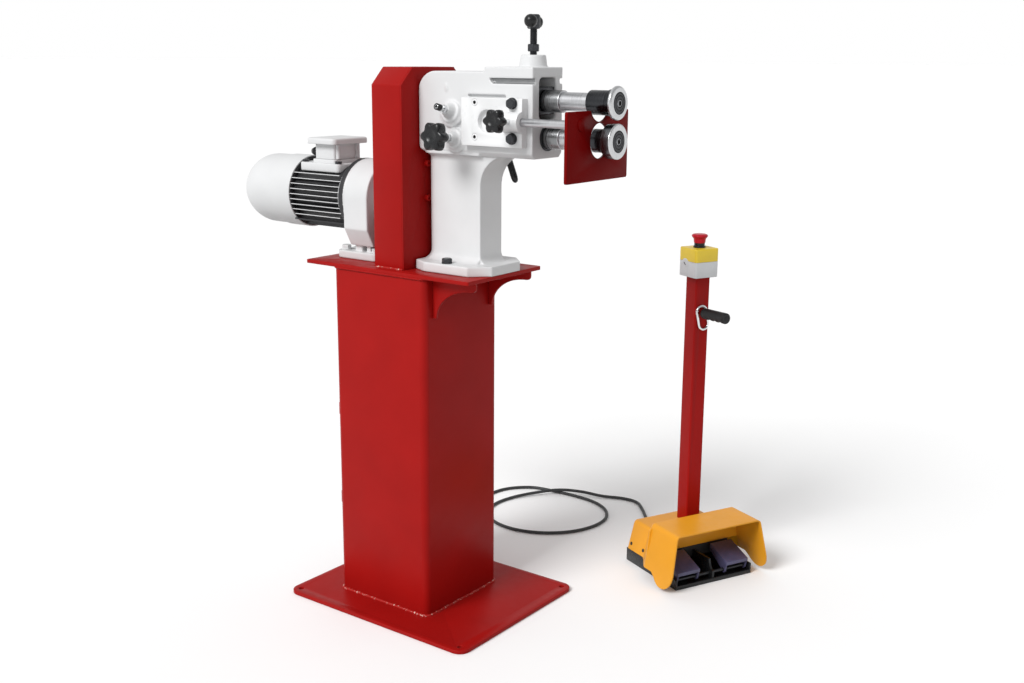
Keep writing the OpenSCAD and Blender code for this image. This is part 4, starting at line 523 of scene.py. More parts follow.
# Pedal cord on its route from part.scad
CORD_POINTS = [
    (-90, 145.5, 85), (-90, 174, 78), (-94, 206, 46), (-104, 240, 12), (-124, 285, 4.1),
    (-180, 360, 4.1), (-240, 455, 4.1), (-268, 540, 4.1), (-262, 620, 4.1), (-215, 676, 4.1),
    (-150, 692, 4.1), (-75, 696, 4.1), (-10, 688, 4.1), (45, 658, 4.1), (80, 605, 4.1),
    (84, 540, 4.1), (58, 474, 4.1), (5, 424, 4.1), (-65, 400, 4.1), (-135, 410, 4.1),
    (-190, 452, 4.1), (-213, 515, 4.1), (-204, 582, 4.8), (-172, 640, 8), (-125, 688, 13),
    (-70, 716, 12), (-15, 736, 6), (40, 760, 4.1), (85, 756, 4.1), (125, 718, 4.1),
    (160, 676, 4.4), (205, 628, 7), (248, 584, 12)]
CORD_R = 4
GLAND_A, GLAND_B, GLAND_Z = -125, 30, 16


def spline(points, step):
    out = []
    n = len(points)
    for i in range(n - 1):
        p0, p1, p2, p3 = (Vector(points[max(0, min(n - 1, i + k))]) for k in (-1, 0, 1, 2))
        steps = max(1, round((p2 - p1).length / step))
        for k in range(steps):
            t = k / steps
            square, cube = 2 * p0 - 5 * p1 + 4 * p2 - p3, 3 * p1 - p0 - 3 * p2 + p3
            out.append(0.5 * ((2 * p1) + (p2 - p0) * t + square * t * t + cube * t ** 3))
    out.append(Vector(points[-1]))
    return out


def make_cord():
    route = CORD_POINTS + [tuple(CONSOLE @ Vector((GLAND_A, GLAND_B, GLAND_Z)))]
    path = spline(route, 8)
    bm = bmesh.new()
    sweep(bm, path, CORD_R, 14)
    cord = piece("pedal_cord", bm, "machine", ["cord"], ["pedal_cable"])


make_cord()


# Stand: base, column, deck, door
def make_stand():
    soften("base_plate", ["red"], "machine", 1.2, 3)
    soften("column", ["red"], "machine", 0.5, 2)
    soften("deck_plate", ["red"], "machine", 0.9, 2)
    soften("door_hinges", ["red"], "machine", 0.5, 2)
    soften("rear_door", ["smooth"], "door", 1.0, 2)
    bm = node_mesh("door_latch")
    round_edges(bm, 0.5, 2)
    # Key slot on the latch: a thin near-black plate standing proud, painted shade for the slot
    at = frame_at((-188.6, 62, 332.5), (-1, 0, 0))
    prism(bm, [(-1.6, -6), (1.6, -6), (1.6, 6), (-1.6, 6)], at, 0, 0.4, 0.1, 1)
    piece("door_latch_shape", bm, "latch", ["bolt", "dark"], ["door_latch"])
    # Weld beads round the column's foot and head, and along the cover's foot
    bm = bmesh.new()
    around = rounded_rect(COLUMN_X1 - COLUMN_X0 + 2, 2 * COLUMN_Y + 2, 16, 8, ((COLUMN_X0 + COLUMN_X1) / 2, 0))
    weld_bead(bm, around, BASE_TOP + 0.6, 3.2, 0, True)
    weld_bead(bm, around, DECK_Z - 0.8, 2.6, 1, True)
    for y in (-COVER_Y - 0.5, COVER_Y + 0.5):
        weld_bead(bm, [(COVER_X0 + 4, y), (COVER_X1 - 2, y)], DECK_TOP + 0.6, 2.6, 0, False)
    for y in (-92 - 3.4, -92 + 3.4, 92 - 3.4, 92 + 3.4):
        weld_bead(bm, [(COLUMN_X1 + 4, y), (COLUMN_X1 + 106, y)], DECK_Z - 0.5, 1.9, 1, False)
    piece("weld_beads", bm, "machine", ["red_seam_bare_and_glints", "red"], (), sharp=80)


def weld_bead(bm, outline, z, r, mat, closed):
    """A bead of overlapping ripples along a line on the floor of a corner"""
    points = [Vector((x, y, z)) for x, y in outline]
    if closed:
        points.append(points[0])
    path, step = [], 1.5
    for a, b in zip(points, points[1:]):
        n = max(1, round((b - a).length / step))
        path += [a.lerp(b, k / n) for k in range(n)]
    if not closed:
        path.append(points[-1])
    def ripple(i):
        return r * (0.82 + 0.18 * abs(math.sin(i * 0.9)) + 0.06 * math.sin(i * 0.37))
    sweep(bm, path, ripple, 8, mat, closed)


def make_cover():
    soften("transmission_cover", ["red"], "machine", 2.2, 3, angle=20)
    soften("cover_plate", ["red"], "machine", 0.9, 2, angle=20)


# Head casting and what is screwed to it
def ellipsoid(bm, centre, radii):
    matrix = Matrix.Translation(Vector(centre)) @ Matrix.Diagonal((*radii, 1))
    bmesh.ops.create_icosphere(bm, subdivisions=3, radius=1, matrix=matrix)


def cove(bm, path_points, inner, radius, z):
    """A fillet strip under a ledge: path is a list of (point, outward direction) pairs along the wall"""
    rings = []
    for p, out in path_points:
        p, out = Vector((*p, 0)), Vector((*out, 0))
        section = [(-inner, inner), (-inner, -radius)]
        turns = [k / 6 * math.pi / 2 for k in range(7)]
        section += [(radius - radius * math.cos(a), -radius + radius * math.sin(a)) for a in turns]
        section += [(radius, inner)]
        rings.append([bm.verts.new(p + out * u + Vector((0, 0, z + w))) for u, w in section])
    for a, b in zip(rings, rings[1:]):
        bridge(bm, a, b)
    bm.faces.new(rings[0])
    bm.faces.new(rings[-1])


def side_frame(x, z, tilt, y=-ARM_Y):
    """Out of the head's near side, tilted upward"""
    t = math.radians(tilt)
    return frame_at((x, y, z), (0, -math.cos(t), math.sin(t)))


def make_head():
    bm = node_mesh("head_casting")
    for s in (-1, 1):
        line = [((x, s * 36), (0, s)) for x in (50, 80, 110, 140, 172)]
        turns = [math.radians(d) for d in (125, 115, 105, 97, 90)]
        bend = [((55 + 36 * math.cos(a), s * 36 * math.sin(a)), (math.cos(a), s * math.sin(a))) for a in turns]
        cove(bm, bend + line[1:], 4, 13, 986)
    ellipsoid(bm, (92, -50, 1117), (3.2, 2.6, 9))
    for x, z, tilt, r in ((115, 1018, 6, 19), (106, 1070, 14, 21)):
        rows = [(-8, 0, 0), (-8, r + 9, 0), (0, r + 9, 0), (3, r + 3.2, 0), (8, r + 0.2, 0), (8, 0, 0)]
        lathe(bm, rows, side_frame(x, z, tilt), 40)
    def groove_shade_faces(c, n):
        """Darker grey paint on the walls of the cap's two side grooves, painted shade in the grooves"""
        return 1 if c.x > 185 and 36 < abs(c.y) < 48 and 1113 < c.z < 1140 and abs(n.x) < 0.5 else 0
    cast_skin("head_body", bm, "machine", ["cast", "groove"], ["head_casting"],
              1.7, 5, 0.5, groove_shade_faces)
    # Oil hole low on the near side: a cast ring round a near-black disc, painted shade for the hole
    bm = bmesh.new()
    rows = [(0, 4.2, 0), (0.8, 4.2, 0, 0.3), (0.8, 2.8, 0, 0.2), (0.2, 2.4, 1), (0.2, 0, 1)]
    lathe(bm, rows, side_frame(146, 1011, 0), 28)
    piece("oil_hole_ring", bm, "machine", ["cast", "dark"], ())


def make_side_plate():
    soften("side_plate", ["smooth"], "machine", 0.8, 2)
    bm = bmesh.new()
    for z in (1025, 1091):
        hex_bolt(bm, side_frame(268, z, 0, -67), 11, 18.2, 8)
    for y in (-67, 67):
        hex_bolt(bm, frame_at((105, y, DECK_TOP + 20)), 11, 18.2, 8)
    for x in (-197, -109):
        for y in (-45, 45):
            hex_bolt(bm, frame_at((x, y, DECK_TOP + 17)), 11, 18.2, 8, mat=1)
    for x in (52, 138):
        hex_bolt(bm, frame_at((x, 0, DECK_Z), (0, 0, -1)), 11, 18.2, 8)
    piece("hex_bolt_heads", bm, "machine", ["bolt", "cast"], ["hex_bolts"], sharp=25)
    bm = bmesh.new()
    for z in (1025, 1091):
        socket_screw(bm, side_frame(176, z, 0, -59), mat=3)
    for x, y in ((-22, -54), (-22, 54)):
        socket_screw(bm, frame_at((x, y, DECK_TOP + 8)))
    socket_screw(bm, CONSOLE @ frame_at((POST_A, POST_B, 8)))
    for y in (-26, 26):
        for z in (963, 892):
            socket_screw(bm, frame_at((COVER_X1, y, z), (1, 0, 0)), mat=2, hole=2)
    piece("socket_screws", bm, "machine", ["bolt", "dark", "red", "smooth"], ["cap_screws"])
    # Guide screw with its nut and hollow tip, the hollow painted near-black as shade
    bm = bmesh.new()
    at = side_frame(106, 1070, 14)
    lathe(bm, [(20, 5, 0), (48, 5, 0, 0.8), (50, 4, 0, 0.5), (50, 2.8, 1), (45, 2.6, 1), (45, 0, 1)], at, 32)
    lathe(bm, [(24, 5, 0), (24, 8.8, 0, 0.6), (32, 8.8, 0, 0.8), (32, 5, 0)], at, 6)
    lathe(bm, [(38, 5, 1), (38, 6.6, 1, 0.6), (50, 6.6, 1, 1.2), (50, 4.5, 1)], at, 32)
    piece("guide_screw_shape", bm, "machine", ["bright", "dark"], ["guide_screw"], sharp=30)


def make_knobs():
    for name, body, node, at, r, h, l, stud in (
            ("small_grip", "fence_knob", "small_star_knob", side_frame(270, ROD_Z, 4, ROD_Y), 24, 20, 59, 5),
            ("large_grip", "head_knob", "large_star_knob", side_frame(115, 1018, 6), 30, 25, 65, 6)):
        bm = bmesh.new()
        star_knob(bm, at @ Matrix.Translation(Vector((0, 0, l - h / 2))), r, h)
        lathe(bm, [(10, stud, 1), (l - h * 0.6, stud, 1)], at, 24)
        low, high, nut = l - h * 1.05, l - h * 0.8, stud * 1.9
        lathe(bm, [(low, stud, 1), (low, nut, 1, 0.5), (high, nut, 1, 0.5), (high, stud, 1)], at, 32)
        piece(name, bm, body, ["plastic", "bright"], [node], sharp=50)
    # Clamp lever on the far side
    bm = bmesh.new()
    at = frame_at((143, 50.3, 1025), (0, 1, 0))
    lathe(bm, [(0, 0, 0), (0, 16, 0, 0.8), (18, 16, 0, 0.8), (22, 12.5, 0, 1.5), (22, 0, 0)], at, 40)
    down = math.radians(22)
    d = Vector((math.sin(down), 0, -math.cos(down)))
    start = Vector((143, 61, 1025))
    stick = [start + d * t for t in (0, 20, 60, 88, 95, 101, 104.5, 105.8)]
    radii = [6.4, 6.6, 6.9, 7, 6.9, 6, 4, 1]
    sweep(bm, stick, lambda i: radii[i], 24)
    piece("lever_shape", bm, "lever", ["plastic"], ["clamp_lever"], sharp=50)


def make_shafts():
    for tag, z, body, c in (("lower", LOWER_Z, "lower_drive", 305), ("upper", UPPER_Z, "upper_drive", 299)):
        bm = bmesh.new()
        at = frame_at((0, 0, z), (1, 0, 0))
        rows = [(-61, 0, 2), (-61, 10, 2, 0.5), (-48.8, 10, 2), (-48.8, 12.4, 2), (-22.5, 12.4, 0), (-22.5, 17.5, 0)]
        # Collar from c, with a groove
        rows += [(c, 17.5, 3), (c, 21, 3, 1.0), (c + 7, 21, 1), (c + 7.4, 20.4, 1), (c + 8.4, 20.4, 3)]
        rows += [(c + 8.8, 21, 3), (340, 21, 0, 1.4), (340, 17.5, 0)]
        rows += [(402, 17.5, 0), (402, 11, 2), (456, 11, 2, 0.5), (456, 0, 2)]
        lathe(bm, rows, at, 72)
        piece(tag + "_spindle", bm, body, ["chrome", "collar", "gear", "ring"], [tag + "_shaft"],
              sharp=30)
    # Upper roll: sleeve, step, flared neck and a full round bead
    bm = bmesh.new()
    bead = arc((458.2, 26.9), 4.6, (175, 155, 135, 115, 95, 75, 55, 38))
    rows = [(402, 11.05, 1), (402, 23, 1, 1.2), (442.6, 23, 1), (443, 22.5, 1), (444, 22.5, 1)]
    rows += [(444.4, 25, 1, 0.5), (449, 25, 1), (452.4, 26.0, 1)]
    rows += [(x, r, 2) for x, r in bead]
    # The recess round the end cap takes the near-black recess paint, painted shade in the gap
    rows += [(463, 28.4, 2, 0.3), (463, 20.4, 3, 0.3), (460, 20.1, 3), (460, 11.05, 3)]
    lathe(bm, rows, frame_at((0, 0, UPPER_Z), (1, 0, 0)), 96)
    piece("upper_bead_roll", bm, "upper_drive", ["chrome", "collar", "roll_face", "recess"], ["upper_roll"],
          sharp=30)
    bm = bmesh.new()
    rows = [(402, 11.05, 0), (402, 22, 0, 1.2), (414, 22, 1), (414.4, 21.6, 1), (415.2, 21.6, 1), (415.6, 22, 1)]
    rows += [(441, 22, 1), (441, 30.5, 3, 1.5), (443, 32.6, 3, 0.8), (461.5, 32.9, 2, 1.0)]
    # The recess round the end cap takes the near-black recess paint, painted shade in the gap
    rows += [(463, 31, 2, 0.5), (463, 20.4, 4, 0.3), (460, 20.1, 4), (460, 11.05, 4)]
    lathe(bm, rows, frame_at((0, 0, LOWER_Z), (1, 0, 0)), 96)
    piece("lower_drum_roll", bm, "lower_drive", ["chrome", "collar", "roll_face", "roll_dark", "recess"],
          ["lower_roll"], sharp=30)
    for tag, z, body in (("lower", LOWER_Z, "lower_drive"), ("upper", UPPER_Z, "upper_drive")):
        bm = bmesh.new()
        # The end caps' grooves and central socket take the near-black hollow paint: painted shade
        rows = [(460, 19.4, 0), (462.6, 19.4, 0, 0.5), (463.4, 18.2, 0), (463.4, 15.0, 1), (462.8, 14.4, 1)]
        rows += [(462.8, 13.4, 0), (463.6, 12.8, 0), (463.6, 8.4, 1, 0.2), (462.6, 7.8, 1), (462.6, 6.6, 2)]
        rows += [(463.7, 6.0, 2), (463.7, 5.0, 1), (461.4, 4.6, 1), (461.4, 0, 1)]
        lathe(bm, rows, frame_at((0, 0, z), (1, 0, 0)), 64)
        piece(tag + "_end_cap", bm, body, ["collar", "dark", "gear"], [tag + "_roll_screw"], sharp=30)


def make_fence():
    soften("fence_plate", ["fence"], "fence", 0.6, 2)
    bm = bmesh.new()
    rows = [(234, 0, 0), (234, 8, 0, 1.2), (ROD_X1, 8, 0), (ROD_X1, 0, 0)]
    lathe(bm, rows, frame_at((0, ROD_Y, ROD_Z), (1, 0, 0)), 48)
    piece("fence_rod", bm, "fence", ["chrome"], ["stop_rod"], sharp=30)


def make_screw():
    bm = bmesh.new()
    up = frame_at((SCREW_X, 0, 0))
    thread = []
    z = 1140.0
    while z < BOSS_TOP + 48:
        thread += [(z, 6.1, 0), (z + 0.75, 7, 0), (z + 1.3, 7, 0)]
        z += 2.0
    lathe(bm, [(1127.6, 0, 0), (1127.6, 6.2, 0, 0.5)] + thread + [(1229, 6.1, 0)], up, 36)
    rows = [(1229, 0, 0), (1229, 10.6, 0), (1231, 12.4, 0, 0.6), (1253, 12.4, 0, 0.6)]
    rows += [(1256, 9.6, 0, 1.0), (1256, 0, 0)]
    lathe(bm, rows, up, 48)
    piece("screw_spindle", bm, "screw", ["bolt"], ["pressure_screw"], sharp=30)
    bm = bmesh.new()
    rows = [(1187, 7.2, 0), (1187, 10.8, 0, 0.4), (1188.6, 12, 0), (1199.4, 12, 0)]
    rows += [(1201, 10.8, 0, 0.4), (1201, 7.2, 0)]
    lathe(bm, rows, up, 6)
    piece("lock_nut_shape", bm, "screw", ["bolt"], ["lock_nut"], sharp=20)
    bm = bmesh.new()
    yaw = math.radians(119)
    at = frame_at((SCREW_X, 0, TOMMY_Z), (math.cos(yaw), math.sin(yaw), 0))
    def ball(side):
        turns = [math.radians(d) for d in (26, 40, 55, 70, 90, 110, 130, 150, 165)]
        return [(side * (49 - 12.4 * math.cos(a)), 12.5 * math.sin(a), 0) for a in turns]
    rows = [(-x, r, m) for x, r, m in ball(1)][::-1] + [(-37, 5, 1), (37, 5, 1)] + ball(1)
    rows = [(-61.5, 0, 0)] + rows + [(61.5, 0, 0)]
    lathe(bm, rows, at, 40)
    piece("tommy_handle", bm, "tommy", ["plastic", "bolt"], ["tommy_bar"], sharp=40)
    soften("bearing_block", ["collar"], "upper_arm", 0.8, 2)


# Gear motor
def make_motor():
    bm = node_mesh("gearbox")
    cast_skin("gearbox_body", bm, "machine", ["drive", "core"], ["gearbox"], 1.8, 5, 0.45,
              lambda c, n: 1 if c.x < -170.6 and c.z > DECK_TOP + 24 else 0)
    along = frame_at((0, 0, MOTOR_Z), (1, 0, 0))
    bm = bmesh.new()
    rows = [(MOTOR_X0, 10, 0), (MOTOR_X0, 76.5, 0, 2), (FIN_X0 + 2, 78, 0, 1), (FIN_X0 + 5, 72, 0)]
    rows += [(FIN_X0 + 5, 66, 0), (-196, 66, 0), (-196, 70, 1), (-186, 79, 1, 2), (FLANGE_X, 79, 1, 1), (FLANGE_X, 10, 1)]
    lathe(bm, rows, along, 96)
    for side in (-1, 1):
        for i in range(10):
            z = -56.8 + (46.2 + 56.8) * i / 9
            reach = math.sqrt(77 ** 2 - z * z)
            fin = [(x, side * y) for x, y in fin_outline(60, reach)]
            if side < 0:
                fin = fin[::-1]
            fin_plate(bm, fin, Matrix.Translation(Vector((0, 0, MOTOR_Z + z))))
    for y in (-44, -27, -9, 9, 27, 44):
        reach = math.sqrt(76 ** 2 - y * y)
        at = Matrix.Translation(Vector((0, y, MOTOR_Z))) @ Matrix.Rotation(math.radians(-90), 4, "X")
        fin_plate(bm, fin_outline(40, reach), at)
    # Saddle under the terminal box
    prism(bm, rounded_rect(118, 104, 8, 4, (BOX_X - 8, 0)), frame_at((0, 0, MOTOR_Z)), 50, 69, 3, 1)
    prism(bm, rounded_rect(68, 90, 6, 4, (BOX_X, 0)), frame_at((0, 0, MOTOR_Z)), 60, 76.8, 2, 1)
    for x, y in ((-318.5, -42), (-318.5, 42), (-218.5, -42), (-218.5, 42)):
        lathe(bm, [(68, 7.6, 2), (74.5, 7.6, 2, 1), (74.5, 0, 2)], frame_at((x, y, MOTOR_Z)), 6)
    piece("motor_body", bm, "machine", ["core", "drive", "bolt"], ["motor_frame"], sharp=35)
    # Fan cowl, with real air slots in its dome
    bm = bmesh.new()
    centre = COWL_X0 + DOME_R
    cowl = [(COWL_X1, 77.5, 0), (COWL_X1, COWL_R, 0, 0.8), (COWL_SEAM + 0.5, COWL_R, 0), (COWL_SEAM - 0.2, 79.4, 0)]
    cowl += [(COWL_SEAM - 1.4, DOME_R, 0), (centre, DOME_R, 0)]
    turns = [math.radians(d) for d in range(4, 90, 3)]
    cowl += [(centre - DOME_R * math.sin(a), DOME_R * math.cos(a), 0) for a in turns] + [(COWL_X0, 0, 0)]
    lathe(bm, cowl, along, 96)
    slots = []
    for f in bm.faces:
        c = f.calc_center_median()
        if c.x < centre:
            r = math.hypot(c.y, c.z - MOTOR_Z)
            a = math.degrees(math.atan2(c.z - MOTOR_Z, c.y)) % 45
            if 15 < r < 34 and 8 < a < 37:
                slots.append(f)
    bmesh.ops.delete(bm, geom=slots, context="FACES")
    bmesh.ops.recalc_face_normals(bm, faces=bm.faces)
    bmesh.ops.solidify(bm, geom=bm.faces[:], thickness=2.2)
    piece("cowl_shell", bm, "machine", ["drive"], ["fan_cowl"], sharp=32)
    # Terminal box and its lid
    bm = bmesh.new()
    prism(bm, rounded_rect(59, 81, 5, 4, (BOX_X, 0)), frame_at((0, 0, 0)), BOX_Z, LID_Z + 0.5, 1.2, 0)
    for y in (-30, 30):
        lathe(bm, [(0, 5.5, 0, 1), (31, 5.5, 0, 0.5), (31, 0, 0)], frame_at((-231, y, 958)), 24)
    piece("terminal_housing", bm, "machine", ["drive"], ["terminal_box"], sharp=40)
    bm = bmesh.new()
    prism(bm, rounded_rect(87, 109, 11, 6, (BOX_X, 0)), frame_at((0, 0, 0)), LID_Z, LID_TOP, 5, 0, 5, 1.2)
    for x in (-295, -228):
        for y in (-45, 45):
            # The screws' sockets take the near-black hollow paint: painted shade
            rows = [(LID_TOP - 3, 3.6, 1), (LID_TOP, 3.6, 1, 0.8), (LID_TOP, 1.5, 2)]
            rows += [(LID_TOP - 1.5, 1.4, 2), (LID_TOP - 1.5, 0, 2)]
            lathe(bm, rows, frame_at((x, y, 0)), 24)
    piece("terminal_cover", bm, "machine", ["drive", "zinc", "dark"], ["terminal_lid"], sharp=40)
    bm = bmesh.new()
    for at, plug in glands():
        lathe(bm, [(0, 4, 0), (0, 13.2, 0, 0.8), (6, 13.2, 0, 0.8), (6, 10.6, 0)], at, 6)
        rows = [(6, 10.6, 0)]
        for k in range(6):
            t, less = 7 + k * 1.6, k * 0.15
            rows += [(t, 10.6 - less, 0), (t + 0.5, 10.1 - less, 0), (t + 1.1, 10.1 - less, 0)]
            rows += [(t + 1.6, 10.5 - less, 0)]
        rows += [(20, 8.2, 0, 1.0), (24, 6.8, 0, 1.0), (24, 0 if plug else 4.0, 0)]
        lathe(bm, rows, at, 40)
    piece("gland_nuts", bm, "machine", ["plastic"], ["cable_glands"], sharp=35)


def glands():
    z = MOTOR_Z + 77 + 13.5 + 0.6
    back = (-1, 0, 0)
    return ((frame_at((CORD_POINTS[0][0], COLUMN_Y, CORD_POINTS[0][2]), (0, 1, 0)), False),
            (CONSOLE @ frame_at((-101, GLAND_B, GLAND_Z), back), False),
            (frame_at((-291, -21.8, z), back), True), (frame_at((-291, 21.8, z), back), True))


def fin_outline(root, reach):
    """Outline of a fin along the motor, from inside the core to its rim"""
    return [(FIN_X0, root), (FIN_X0, reach - 1.5), (FIN_X0 + 2, reach),
            (FIN_X1 - 8, reach), (FIN_X1, reach - 2), (FIN_X1, root)]


def fin_plate(bm, outline, at):
    """A cooling fin that thins toward its rim; its rim faces get the light paint as a painted highlight where light
    catches the fin edges, and its flanks the dark core paint
    """
    shares = [0.55 if abs(y) > 61 else 1 for x, y in outline]
    low, high = (ring_of(bm, at, [(x, y, z * share) for (x, y), share in zip(outline, shares)]) for z in (-1.5, 1.5))
    n = len(low)
    for k in range(n):
        j = (k + 1) % n
        # Rim faces: light paint as a painted highlight on the fin edges
        tip = abs(outline[k][1]) > 61 and abs(outline[j][1]) > 61
        bm.faces.new([low[k], low[j], high[j], high[k]]).material_index = 1 if tip else 0
    bm.faces.new(low[::-1])
    bm.faces.new(high)


# Pedal console
def guard_low(a):
    """Height of the guard wall's lower edge at a place along the console"""
    if a < 44:
        return 31
    if a < 58:
        return 31 + (21.4 - 31) * (a - 44) / 14
    return 44 - math.sqrt(max(0, 36 ** 2 - (min(a, 122) - 86) ** 2))


def guard_station(a, top, half, low_half, bend, front=None):
    """One cross section of the guard, from one foot over the roof to the other, as (a, b, z)"""
    lean = (low_half - half) / (top - 31)
    corner = math.atan2(1, lean)
    n_wall, n_bend = 14, 6
    points = []
    for s in (-1, 1):
        wall = []
        low = guard_low(a)
        z_bend = top - bend
        for k in range(n_wall + 1):
            z = low + (z_bend - low) * k / n_wall
            wall.append((half + (top - z) * lean, z))
        arc = []
        b0, z0 = half + (top - z_bend) * lean, z_bend
        for k in range(1, n_bend + 1):
            t = k / n_bend
            p0, p1, p2 = Vector((b0, z0)), Vector((half, top)), Vector((half - bend, top))
            q = p0 * (1 - t) ** 2 + p1 * 2 * t * (1 - t) + p2 * t * t
            arc.append((q.x, q.y))
        side = [(s * b, z) for b, z in wall + arc]
        points.append(side)
    roof = [(b, top) for b in [(-1 + 2 * k / 10) * (half - bend) for k in range(1, 10)]]
    line = points[0] + roof + points[1][::-1]
    out = []
    for b, z in line:
        x = a
        if front is not None:
            x = 16 + front * ((113 + (135 - z) * 9 / 91 if z > 44 else 122) - 16)
        out.append((x, b + 2, z))
    return out


def make_guard():
    bm = bmesh.new()
    stations = []
    for k in range(5):
        a = k / 4 * math.pi / 2
        d = 7 * (1 - math.sin(a))
        stations.append(guard_station(-101 + 7 * (1 - math.cos(a)), 100 - d, 90 - d, 107.5 - d, 8))
    for a in (-85, -65, -45, -36):
        stations.append(guard_station(a, 100, 90, 107.5, 8))
    for k in range(0, 9):
        t = k / 8
        soft = t * t * (3 - 2 * t) * 0.35 + t * 0.65
        half, low_half = 90 + 28 * soft, 107.5 + 30.1 * soft
        stations.append(guard_station(-34 + 50 * t, 100 + 35 * soft, half, low_half, 8 + 2 * soft))
    n = 44
    for k in range(1, n + 1):
        u = k / n
        a = 16 + 106 * u
        stations.append(guard_station(a, 135, 118, 137.65, 10, u))
    rings = [ring_of(bm, CONSOLE, s) for s in stations]
    for a, b in zip(rings, rings[1:]):
        bridge(bm, a, b, 0, closed=False)
    bm.faces.new(rings[0])
    bmesh.ops.recalc_face_normals(bm, faces=bm.faces)
    # Outside faces point outward before the sheet gets its thickness
    probe = max(bm.faces, key=lambda f: f.calc_center_median().z)
    if probe.normal.z < 0:
        bmesh.ops.reverse_faces(bm, faces=bm.faces)
    bmesh.ops.solidify(bm, geom=bm.faces[:], thickness=3.0)
    bm.normal_update()
    # Inner wall behind the pedals
    wall = [(-132, 60), (132, 60), (126, 118), (116, 130), (-116, 130), (-126, 118)]
    behind = CONSOLE @ frame_at((16, 2, 0), (1, 0, 0))
    prism(bm, wall, behind, 0, 3, 0.5)
    # Near-black strip below the inner wall: painted shade for the opening behind the pedals
    prism(bm, [(-100, 33), (100, 33), (100, 60), (-100, 60)], behind, 0, 3, 0.5, 1)
    # Side screws
    lean_rear = math.atan2(17.5, 69)
    for a in (-87, -38):
        for s in (-1, 1):
            at = CONSOLE @ frame_at((a, 2 + s * 103.9, 45), (0, s * math.cos(lean_rear), math.sin(lean_rear)))
            lathe(bm, [(-1, 4.2, 1), (0.6, 4.2, 1, 0.3), (1.6, 2.6, 1, 0.4), (1.6, 0.0, 1)], at, 24)
    piece("guard_shell", bm, "machine", ["yellow", "dark"], ["pedal_guard"], sharp=45)


def make_console():
    soften("pedal_base", ["plastic"], "machine", 0.8, 2)
    make_guard()
    for node in ("left_pedal", "right_pedal"):
        bm = node_mesh(node)
        round_edges(bm, 0.7, 2)
        piece(node + "_shape", bm, node, ["pedal"], [node], sharp=38)
    soften("pedal_post", ["red"], "machine", 0.5, 2)
    # Stop button box, grey below and yellow above, each with a knockout arch
    at = CONSOLE @ Matrix.Translation(Vector((POST_A, POST_B, 0)))
    bm = bmesh.new()
    prism(bm, rounded_rect(64, 64, 5.5, 6), at, POST_H, POST_H + 36, 0.5, 0, 2, 2.0)
    for s in (-1, 1):
        face = CONSOLE @ frame_at((POST_A - 8, POST_B + s * 32, POST_H + 30), (0, s, 0))
        arch = arc((0, 0), 12, range(0, 181, 12)) + [(-12, -24), (12, -24)]
        prism(bm, arch, arch_axes(face), -1, 0.9, 0.5, 0, 2)
        lathe(bm, [(0.6, 8.6, 0), (1.5, 8.4, 0, 0.4), (1.5, 0, 0)], face, 32)
        # Slot on the knockout disc: a thin near-black plate, painted shade
        slot = face @ Matrix.Rotation(math.radians(50), 4, "Z")
        prism(bm, [(-1.1, -4.2), (1.1, -4.2), (1.1, 4.2), (-1.1, 4.2)], slot, 1.4, 1.8, 0.1, 1, 1)
    piece("stop_box_lower", bm, "machine", ["grey_box", "dark"], ["stop_box"], sharp=38)
    bm = bmesh.new()
    prism(bm, rounded_rect(64, 64, 5.5, 6), at, POST_H + 36.3, POST_H + 66, 2.2, 0, 4, 0.5)
    lathe(bm, [(POST_H + 65, 14, 1), (POST_H + 70, 14, 1, 1), (POST_H + 70, 6.5, 1)], at, 40)
    piece("stop_box_upper", bm, "machine", ["yellow_box", "plastic"], ["stop_lid"], sharp=38)
    bm = bmesh.new()
    z = STOP_TOP
    rows = [(z - 18, 6, 1), (z + 0.6, 6, 1), (z + 0.6, 12, 1), (z + 6.5, 12, 1), (z + 6.5, 11, 0)]
    rows += [(z + 6.8, 13, 0, 0.5), (z + 16, 14, 0, 2), (z + 21.5, 18.4, 0, 1.5), (z + 24.5, 18.2, 0, 1.6)]
    rows += [(z + 26.6, 14.5, 0, 1), (z + 26.9, 0, 0)]
    lathe(bm, rows, at, 56)
    piece("stop_mushroom", bm, "stop", ["button", "plastic"], ["stop_button"], sharp=40)
    make_grip()


def arch_axes(face):
    """The face's own axes, with local Y turned to the part's up"""
    up = Vector((0, 0, 1))
    z = face.to_3x3() @ Vector((0, 0, 1))
    x = up.cross(z).normalized()
    turn = Matrix((x, up, z)).transposed().to_4x4()
    return Matrix.Translation(face.to_translation()) @ turn


